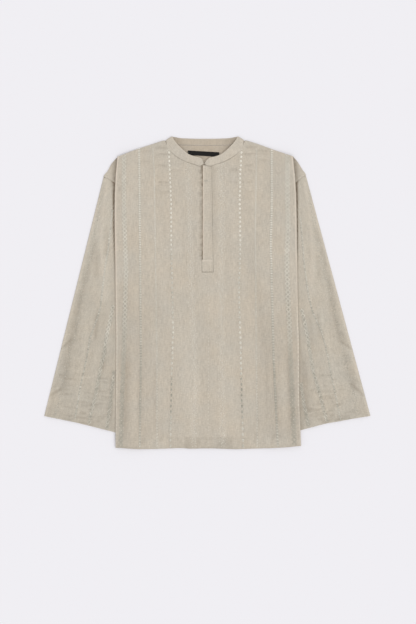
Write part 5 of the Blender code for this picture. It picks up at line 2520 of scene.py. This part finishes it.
@dataclass
class Topstitching:
    """The rows of sewing that show: hems, armholes, shoulders, placket and collar."""

    plan: BodyPlan
    hem_up: float = 23.0
    sleeve_hem_up: float = 21.0
    tack: Place = (-8.0, 270.0)
    tack_step: float = 0.62
    tack_count: int = 16

    def front_lines(self) -> list[StitchLine]:
        """Rows on the front: its hem, its shoulder seams and beside the placket.

        Returns:
            The rows.
        """
        xs = np.linspace(-214.0, 217.0, 60)
        path = tuple((float(x), float(self.plan.hem_line.at(x)) + self.hem_up) for x in xs)
        lines = [StitchLine(path, tone=0.4)]
        for side in Side:
            seam = self.plan.shoulder_seam[side]
            for back in (2.2, 5.4):
                path = tuple((side.value * out, y - back) for out, y in seam[:-1])
                lines.append(StitchLine(path, tone=0.5))
            edge = 1.6 if side is Side.RIGHT else 1.4
            levels = (52.0, 120.0, 200.0, 300.0)
            path = tuple((side.value * (self.plan.slot_out(side, y) + edge), y) for y in levels)
            lines.append(StitchLine(path, tone=0.5))
        lines.append(StitchLine(((-15.2, 47.6), (16.6, 47.6)), tone=0.35))
        return lines

    def shoulder_lines(self) -> list[StitchLine]:
        """Rows beside the armhole on the dropped shoulder.

        Returns:
            The rows.
        """
        lines = []
        for side in Side:
            seam = self.plan.drop_edge[side][2::-1]
            lines.append(StitchLine(tuple((side.value * (out - 2.0), y + 3.0) for out, y in seam), tone=0.7))
        return lines

    def sleeve_lines(self, sleeve: Sleeve) -> list[StitchLine]:
        """The row above one sleeve's hem.

        Args:
            sleeve: the sleeve.

        Returns:
            The row.
        """
        share = 1.0 - self.sleeve_hem_up / sleeve.length()
        path = tuple(sleeve.spot(float(across), share) for across in np.linspace(0.02, 0.98, 30))
        return [StitchLine(path, tone=0.45)]

    def placket_lines(self, placket: Placket) -> list[StitchLine]:
        """Rows on the outer strip: its edges, its box and the bar that closes it higher up.

        Args:
            placket: the placket.

        Returns:
            The rows.
        """
        rows = placket.over_rows()
        right = tuple((row[2] - 1.5, row[0]) for row in rows)
        left = tuple((row[1] + 1.5, row[0]) for row in rows if row[0] > placket.box_line)
        bottom, top = self.plan.slot_end + 2.4, placket.box_seam
        return [
            StitchLine(right, tone=0.5),
            StitchLine(left, tone=0.5),
            StitchLine(((-12, top), (13, top)), tone=0.75),
            StitchLine(((-12, bottom), (13.2, bottom)), tone=0.3),
            StitchLine(((-11.8, bottom), (-11.8, top)), tone=0.45),
        ]

    def bar_tack(self) -> list[Thread]:
        """The short dense bar across the strip.

        Returns:
            Its threads.
        """
        left, low = self.tack
        made = []
        for k in range(self.tack_count):
            x = left + self.tack_step * k
            made.append(Thread(x, low, x + 0.2, low + 2.2, 0.7, 0.35, 0.3))
        return made

    def band_lines(self, grid: ClothGrid) -> list[StitchLine]:
        """Rows near the collar band's seam and free edge, along its own shape.

        Args:
            grid: the band's grid.

        Returns:
            The rows.
        """
        lines = []
        for share in (0.13, 0.88):
            column = round(share * (grid.mid.shape[1] - 1))
            for part in (grid.out[:, column, 2] > 0.6, grid.out[:, column, 2] < -0.6):
                places = np.nonzero(part)[0]
                for piece in np.split(places, np.nonzero(np.diff(places) > 1)[0] + 1):
                    if len(piece) > 3:
                        path = tuple((float(p[0]), float(p[1])) for p in grid.mid[piece, column])
                        lines.append(StitchLine(path, tone=0.5))
        return lines

    def label_lines(self, label: NeckLabel) -> list[StitchLine]:
        """The row that holds the label at each short end.

        Args:
            label: the label.

        Returns:
            The rows.
        """
        lines = []
        for end in BOTH:
            u = end * (label.width / 2 - label.stitch_in)
            levels = (-label.height / 2 + 1.0, label.height / 2 - 1.0)
            lines.append(StitchLine(tuple(label.spot(u, v) for v in levels), tone=0.0))
        return lines


# Studio


@dataclass
class Studio:
    """The pale floor, the soft light from the right and the camera straight above."""

    height: float = 3.2
    view: float = 1.5163
    middle: Place = (0.0017, -0.047)
    sensor: float = 36.0
    floor_colour: Colour = (0.80, 0.79, 0.825)
    floor_half: float = 4.0
    floor_level: float = -0.0002
    sky: float = 0.675
    sun: float = 1.385
    sun_width: float = math.radians(62.0)
    sun_colour: Colour = (1.0, 0.995, 0.985)
    sun_from: Colour = (0.30, -0.12, 0.945)

    def floor(self) -> None:
        """The plain floor."""
        mesh = bpy.data.meshes.new("floor")
        half = self.floor_half
        plan = ((-half, -half), (half, -half), (half, half), (-half, half))
        corners = [(x, y, self.floor_level) for x, y in plan]
        mesh.from_pydata(corners, [], [(0, 1, 2, 3)])
        piece = bpy.data.objects.new("floor", mesh)
        bpy.context.scene.collection.objects.link(piece)
        material = bpy.data.materials.new("floor_paper")
        material.use_nodes = True
        tree = Tree(material.node_tree)
        shader = tree.node("ShaderNodeBsdfDiffuse", {"Color": self.floor_colour})
        tree.node("ShaderNodeOutputMaterial", {"Surface": shader.outputs[0]})
        mesh.materials.append(material)

    def lights(self) -> None:
        """A soft even sky and one broad light from the right."""
        world = bpy.data.worlds.new("studio")
        world.use_nodes = True
        shade = world.node_tree.nodes["Background"]
        shade.inputs["Color"].default_value = (1.0, 1.0, 1.0, 1.0)
        shade.inputs["Strength"].default_value = self.sky
        bpy.context.scene.world = world
        lamp = bpy.data.lights.new("window", "SUN")
        lamp.energy = self.sun
        lamp.angle = self.sun_width
        lamp.color = self.sun_colour
        light = bpy.data.objects.new("window", lamp)
        light.rotation_euler = Vector(self.sun_from).to_track_quat("Z", "Y").to_euler()
        bpy.context.scene.collection.objects.link(light)

    def camera(self) -> None:
        """The camera straight above, with the collar at the top of the frame."""
        lens = bpy.data.cameras.new("camera")
        lens.sensor_fit = "VERTICAL"
        lens.sensor_height = self.sensor
        lens.lens = self.sensor * self.height / self.view
        eye = bpy.data.objects.new("camera", lens)
        eye.location = (*self.middle, self.height)
        bpy.context.scene.collection.objects.link(eye)
        bpy.context.scene.camera = eye

    def build(self) -> None:
        """Sets up the floor, the lights, the camera and a plain tone curve."""
        self.floor()
        self.lights()
        self.camera()
        bpy.context.scene.view_settings.view_transform = "Standard"


# Reliefs of the front and the sleeves


BEND_OVERLAP = 0.17
CHEST_PUCKERS = (
    (-131, 352.5, -95, 351, 3.4, -1.5), (-125, 336.8, -88, 335, 1.7, -1.5), (-129, 312, -94, 306, 2.3, -1.4),
    (-92, 297.5, -60, 296, 3.2, -0.9), (-126, 268.5, -88, 267.5, 1.6, -1.5), (-124, 260, -92, 259, 1.6, -0.7),
    (-118, 243, -88, 245.5, 1.7, -1.3), (-162, 344, -134, 344.5, 2.7, -0.9),
    (-168, 319, -133, 318, 2.6, -0.8), (-166, 268.5, -133, 268.5, 1.7, -0.6),
    (-152, 237, -132, 238, 3.2, -0.6), (-128, 281, -98, 282, 2, -0.4),
    (88, 355, 120, 353, 3.2, -1.4), (80, 336.8, 121, 337.2, 1.7, -1.5), (118, 346, 154, 344, 2.8, -1),
    (119, 337, 152, 336, 2, -0.6), (120, 321, 151, 321.5, 2.6, -0.9), (88, 307, 114, 311.5, 2.3, -1.3),
    (50, 297, 79, 299.5, 3.2, -1), (90, 297, 116, 298, 2.4, -0.5), (46, 268, 122, 269, 1.6, -1),
    (90, 246, 116, 245, 1.7, -0.8), (160, 291, 180, 289, 3, -0.8), (88, 228, 114, 227, 1.8, -0.5),
)
PLACKET_PUCKERS = (
    (294, -0.7), (281, 0.5), (268, -0.6), (252, 0.5), (241, -0.7), (223, 0.5), (206, -0.6),
    (186, 0.45), (170, -0.7), (152, 0.5), (139, -0.7), (121, 0.5), (104, -0.7), (90, 0.5),
)
HEM_CREASES = (
    (-72, -352, -46, -366, 4, 0.9), (-62, -372, -14, -362, 6, -0.7), (14, -352, 32, -366, 4, 0.8),
    (20, -372, 62, -362, 6, -0.7), (-122, -352, -124, -296, 14, -0.35), (114, -352, 118, -290, 16, -0.3),
    (194, -352, 190, -300, 12, -0.45), (-118, -366, -106, -340, 4, -0.9), (-160, -374, -150, -336, 4.5, -0.9),
    (112, -366, 120, -336, 4, -0.8), (152, -374, 166, -334, 4.5, -0.9), (-194, -110, -204, -376, 9, -1.3),
    (196, -110, 208, -376, 9, -1.2), (-176, -150, -180, -376, 9, 1), (180, -150, 190, -376, 9, 0.9),
    (-164, -150, -166, -360, 5, -0.7), (160, -150, 171, -360, 5, -0.7), (-128, -150, -128, -340, 5, -0.6),
    (121, -150, 123, -350, 5, -0.5), (-204, 60, -196, -140, 14, -0.6), (-150, 80, -120, -120, 26, -0.35),
    (150, 40, 130, -150, 24, -0.25), (-60, -60, -40, -330, 16, 0.8), (52, -90, 60, -340, 14, 0.7),
    (-188, 330, -186, 120, 12, 0.7), (-78, 220, -72, 60, 8, 0.5), (62, 300, 60, 90, 9, 0.5),
)
LONG_FOLDS: dict[Side, tuple[tuple[Line, float, float], ...]] = {
    Side.LEFT: (
        (((-243, 285), (-251, 218), (-257.6, 164), (-260, 116), (-256, 74)), 4.2, 2),
        (((-257, 90), (-251, 36), (-248, -20)), 9, 2.3),
        (((-271, 128), (-285, 72), (-302, 14), (-312, -25)), 6.5, -1.8),
        (((-268, 105), (-269, 35)), 8, -1.5), (((-246, 165), (-242, 85)), 6, -1.2),
        (((-309, -20), (-318, -62), (-327, -104), (-338, -145), (-349, -240)), 8.5, -1.6),
        (((-266, -45), (-273, -112)), 4.5, -1.9),
        (((-248, -134), (-256, -190)), 4.5, -2), (((-257, -185), (-266, -250)), 3, -0.8),
        (((-227, -185), (-231, -240), (-236, -315)), 8, -1.8),
        (((-294, -50), (-303, -160), (-316, -270)), 9, 1.2),
        (((-268, -120), (-280, -220)), 8, 1),
        (((-236, -30), (-238, -130)), 8, 1),
        (((-331, 10), (-352, -90), (-371, -200)), 8, 1.3),
    ),
    Side.RIGHT: (
        (((234, 275), (241.8, 218), (250, 164), (252.7, 116), (255, 72)), 4.2, 1.8),
        (((252, 80), (250, 20), (245, -25)), 9, 1.9),
        (((262, 156), (276, 116), (288.6, 55), (302, -6)), 7, -1.6),
        (((268, 95), (272, 30)), 7, -1), (((236, 172), (236, 138)), 5, -0.9),
        (((236, 115), (238, 70)), 5, 0.7),
        (((301, -10), (307, -54), (315, -88), (328, -124)), 8, -1.7),
        (((333, -143), (341, -176), (348, -208), (358, -240)), 8, -1.3),
        (((230, -160), (236, -230), (241, -312)), 9, -2.3), (((264, -55), (277, -112)), 4.5, -1.4),
        (((270, -40), (298, -150), (316, -260)), 9, 0.9),
        (((244, -60), (256, -150)), 7, -0.8),
        (((322, 0), (342, -90)), 8, 1.2), (((352, -140), (371, -215)), 8, 1),
    ),
}
SHORT_CREASES = {
    Side.LEFT: (
        (-372, -150, -322, -107, 2.6, -2.4), (-366, -152, -334, -130, 4, 0.9),
        (-398, -259, -344, -227, 2.8, -2.2), (-378, -186, -344, -172, 2.6, -1),
        (-392, -240, -352, -216, 3, -1), (-316, 10, -303, 16, 3.5, 1),
        (-326, -52, -308, -44, 3, -0.7), (-312, -240, -262, -247, 3.2, -1), (-300, -252, -250, -262, 3.2, -1),
        (-330, -262, -286, -270, 3, -0.8), (-296, -272, -252, -280, 3, -0.8),
    ),
    Side.RIGHT: (
        (370, -150, 318, -114, 2.6, -2.4), (360, -154, 332, -136, 4, 0.9), (382, -222, 344, -206, 2.6, -1.1),
        (392, -260, 342, -216, 2.8, -2.2), (250, -244, 300, -236, 3.2, -0.9), (262, -262, 310, -252, 3.2, -1),
        (246, -272, 290, -268, 3, -0.9), (300, -228, 340, -222, 3, -0.7), (296, -276, 332, -268, 3, -0.8),
    ),
}
RIPPLES = 46


def bent(points: Line, width: float, rise: float) -> list[Crease]:
    """A soft ridge or valley along a bent line, as creases that overlap at its bends.

    Args:
        points: the line in plan.
        width: half its width.
        rise: its height.

    Returns:
        The creases.
    """
    made = []
    for (x0, y0), (x1, y1) in zip(points, points[1:]):
        over_x, over_y = (x1 - x0) * BEND_OVERLAP, (y1 - y0) * BEND_OVERLAP
        made.append(Crease(x0 - over_x, y0 - over_y, x1 + over_x, y1 + over_y, width, rise))
    return made


def front_relief() -> Relief:
    """Puckers on the chest, ripples along the hem and faint ribs down the cloth.

    Returns:
        The relief.
    """
    creases = [Crease(*row) for row in CHEST_PUCKERS]
    creases += [Crease(-13, y, -27, y + 2, 2.6, rise) for y, rise in PLACKET_PUCKERS]
    creases += [Crease(*row) for row in HEM_CREASES]
    waves = (
        SoftWaves(11, 7, (60, 150), (220, 700), 0.30), SoftWaves(12, 8, (14, 30), (120, 380), 0.09),
        SoftWaves(13, 8, (120, 260), (26, 70), 0.10),
    )
    return Relief(1.2, tuple(creases), waves, 0.17)


def sleeve_relief(side: Side) -> Relief:
    """Long soft folds down a sleeve, small creases in from its outer edge and ripples above its hem.

    Args:
        side: the sleeve's side.

    Returns:
        The relief.
    """
    creases = [crease for line, width, rise in LONG_FOLDS[side] for crease in bent(line, width, rise)]
    creases += [Crease(*row) for row in SHORT_CREASES[side]]
    draws = np.random.default_rng(51 if side is Side.LEFT else 52)
    for _ in range(RIPPLES):
        out, y, length = draws.uniform(240.0, 356.0), draws.uniform(-318.0, -196.0), draws.uniform(14.0, 46.0)
        slope, rise = draws.uniform(-0.02, 0.2), draws.choice([-1.5, -1.1, 1.1])
        x0, x1 = side.value * (out - length / 2), side.value * (out + length / 2)
        drop = slope * length / 2
        creases.append(Crease(x0, y - drop, x1, y + drop, draws.uniform(1.7, 2.6), rise))
    seed = 31 if side is Side.LEFT else 32
    waves = (
        SoftWaves(seed, 7, (40, 110), (160, 480), 0.25), SoftWaves(seed + 10, 7, (90, 200), (18, 50), 0.12),
    )
    return Relief(1.3, tuple(creases), waves, 0.13)


def sewn(
    name: str, probe: SurfaceProbe, lines: list[StitchLine], material: Material, extra: Sequence[Thread] = ()
) -> Piece:
    """Rows of sewing as one piece.

    Args:
        name: the piece's name.
        probe: the cloth that the rows lie on.
        lines: the rows.
        material: the thread's material.
        extra: threads that are laid after the rows.

    Returns:
        The piece.
    """
    layer = ThreadLayer(name, probe)
    for line in lines:
        layer.lay(line.threads())
    layer.lay(extra)
    return layer.build(material)


def main() -> None:
    """Builds the shirt piece by piece, then the studio."""
    plan = BodyPlan()
    wardrobe = Wardrobe.build()
    cloth, thread = wardrobe.outside(), wardrobe.thread
    back = BodyPanel(plan, "back", True, 8.0, 8.0, 16.0).build(cloth, "linen_inside")
    chest = BodyPanel(plan, "front", False, 3.5, 3.3, 16.0, relief=front_relief(), chest_step=2.1)
    front = chest.build(cloth, "linen")
    sleeves = {side: Sleeve(plan, side, sleeve_relief(side)) for side in Side}
    sleeve_pieces = {side: sleeve.build(wardrobe.sleeve_outside()) for side, sleeve in sleeves.items()}
    band, band_grid = CollarBand(plan).build(cloth)
    placket, label_plan = Placket(plan), NeckLabel(plan)
    over, under = placket.build(wardrobe)
    label = label_plan.build(wardrobe)

    probes = {side: SurfaceProbe([piece]) for side, piece in sleeve_pieces.items()}
    front_probe = SurfaceProbe([front])
    threads = Embroidery().build(thread, front_probe, {side: (sleeves[side], probes[side]) for side in Side})
    sewing = Topstitching(plan)
    front_rows = sewing.front_lines() + sewing.shoulder_lines()
    front_stitches = sewn("stitching_front", front_probe, front_rows, thread)
    sleeve_stitches = {
        side: sewn("stitching_" + sleeve.name, probes[side], sewing.sleeve_lines(sleeve), thread)
        for side, sleeve in sleeves.items()
    }
    over_probe, over_rows = SurfaceProbe([over]), sewing.placket_lines(placket)
    placket_stitches = sewn("stitching_placket", over_probe, over_rows, thread, sewing.bar_tack())
    collar_stitches = sewn("stitching_collar", SurfaceProbe([band]), sewing.band_lines(band_grid), thread)
    label_stitches = sewn("stitching_label", SurfaceProbe([label]), sewing.label_lines(label_plan), thread)

    Studio().build()
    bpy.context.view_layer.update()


if __name__ == "__main__":
    logging.basicConfig(level=logging.INFO, format="%(message)s")
    main()
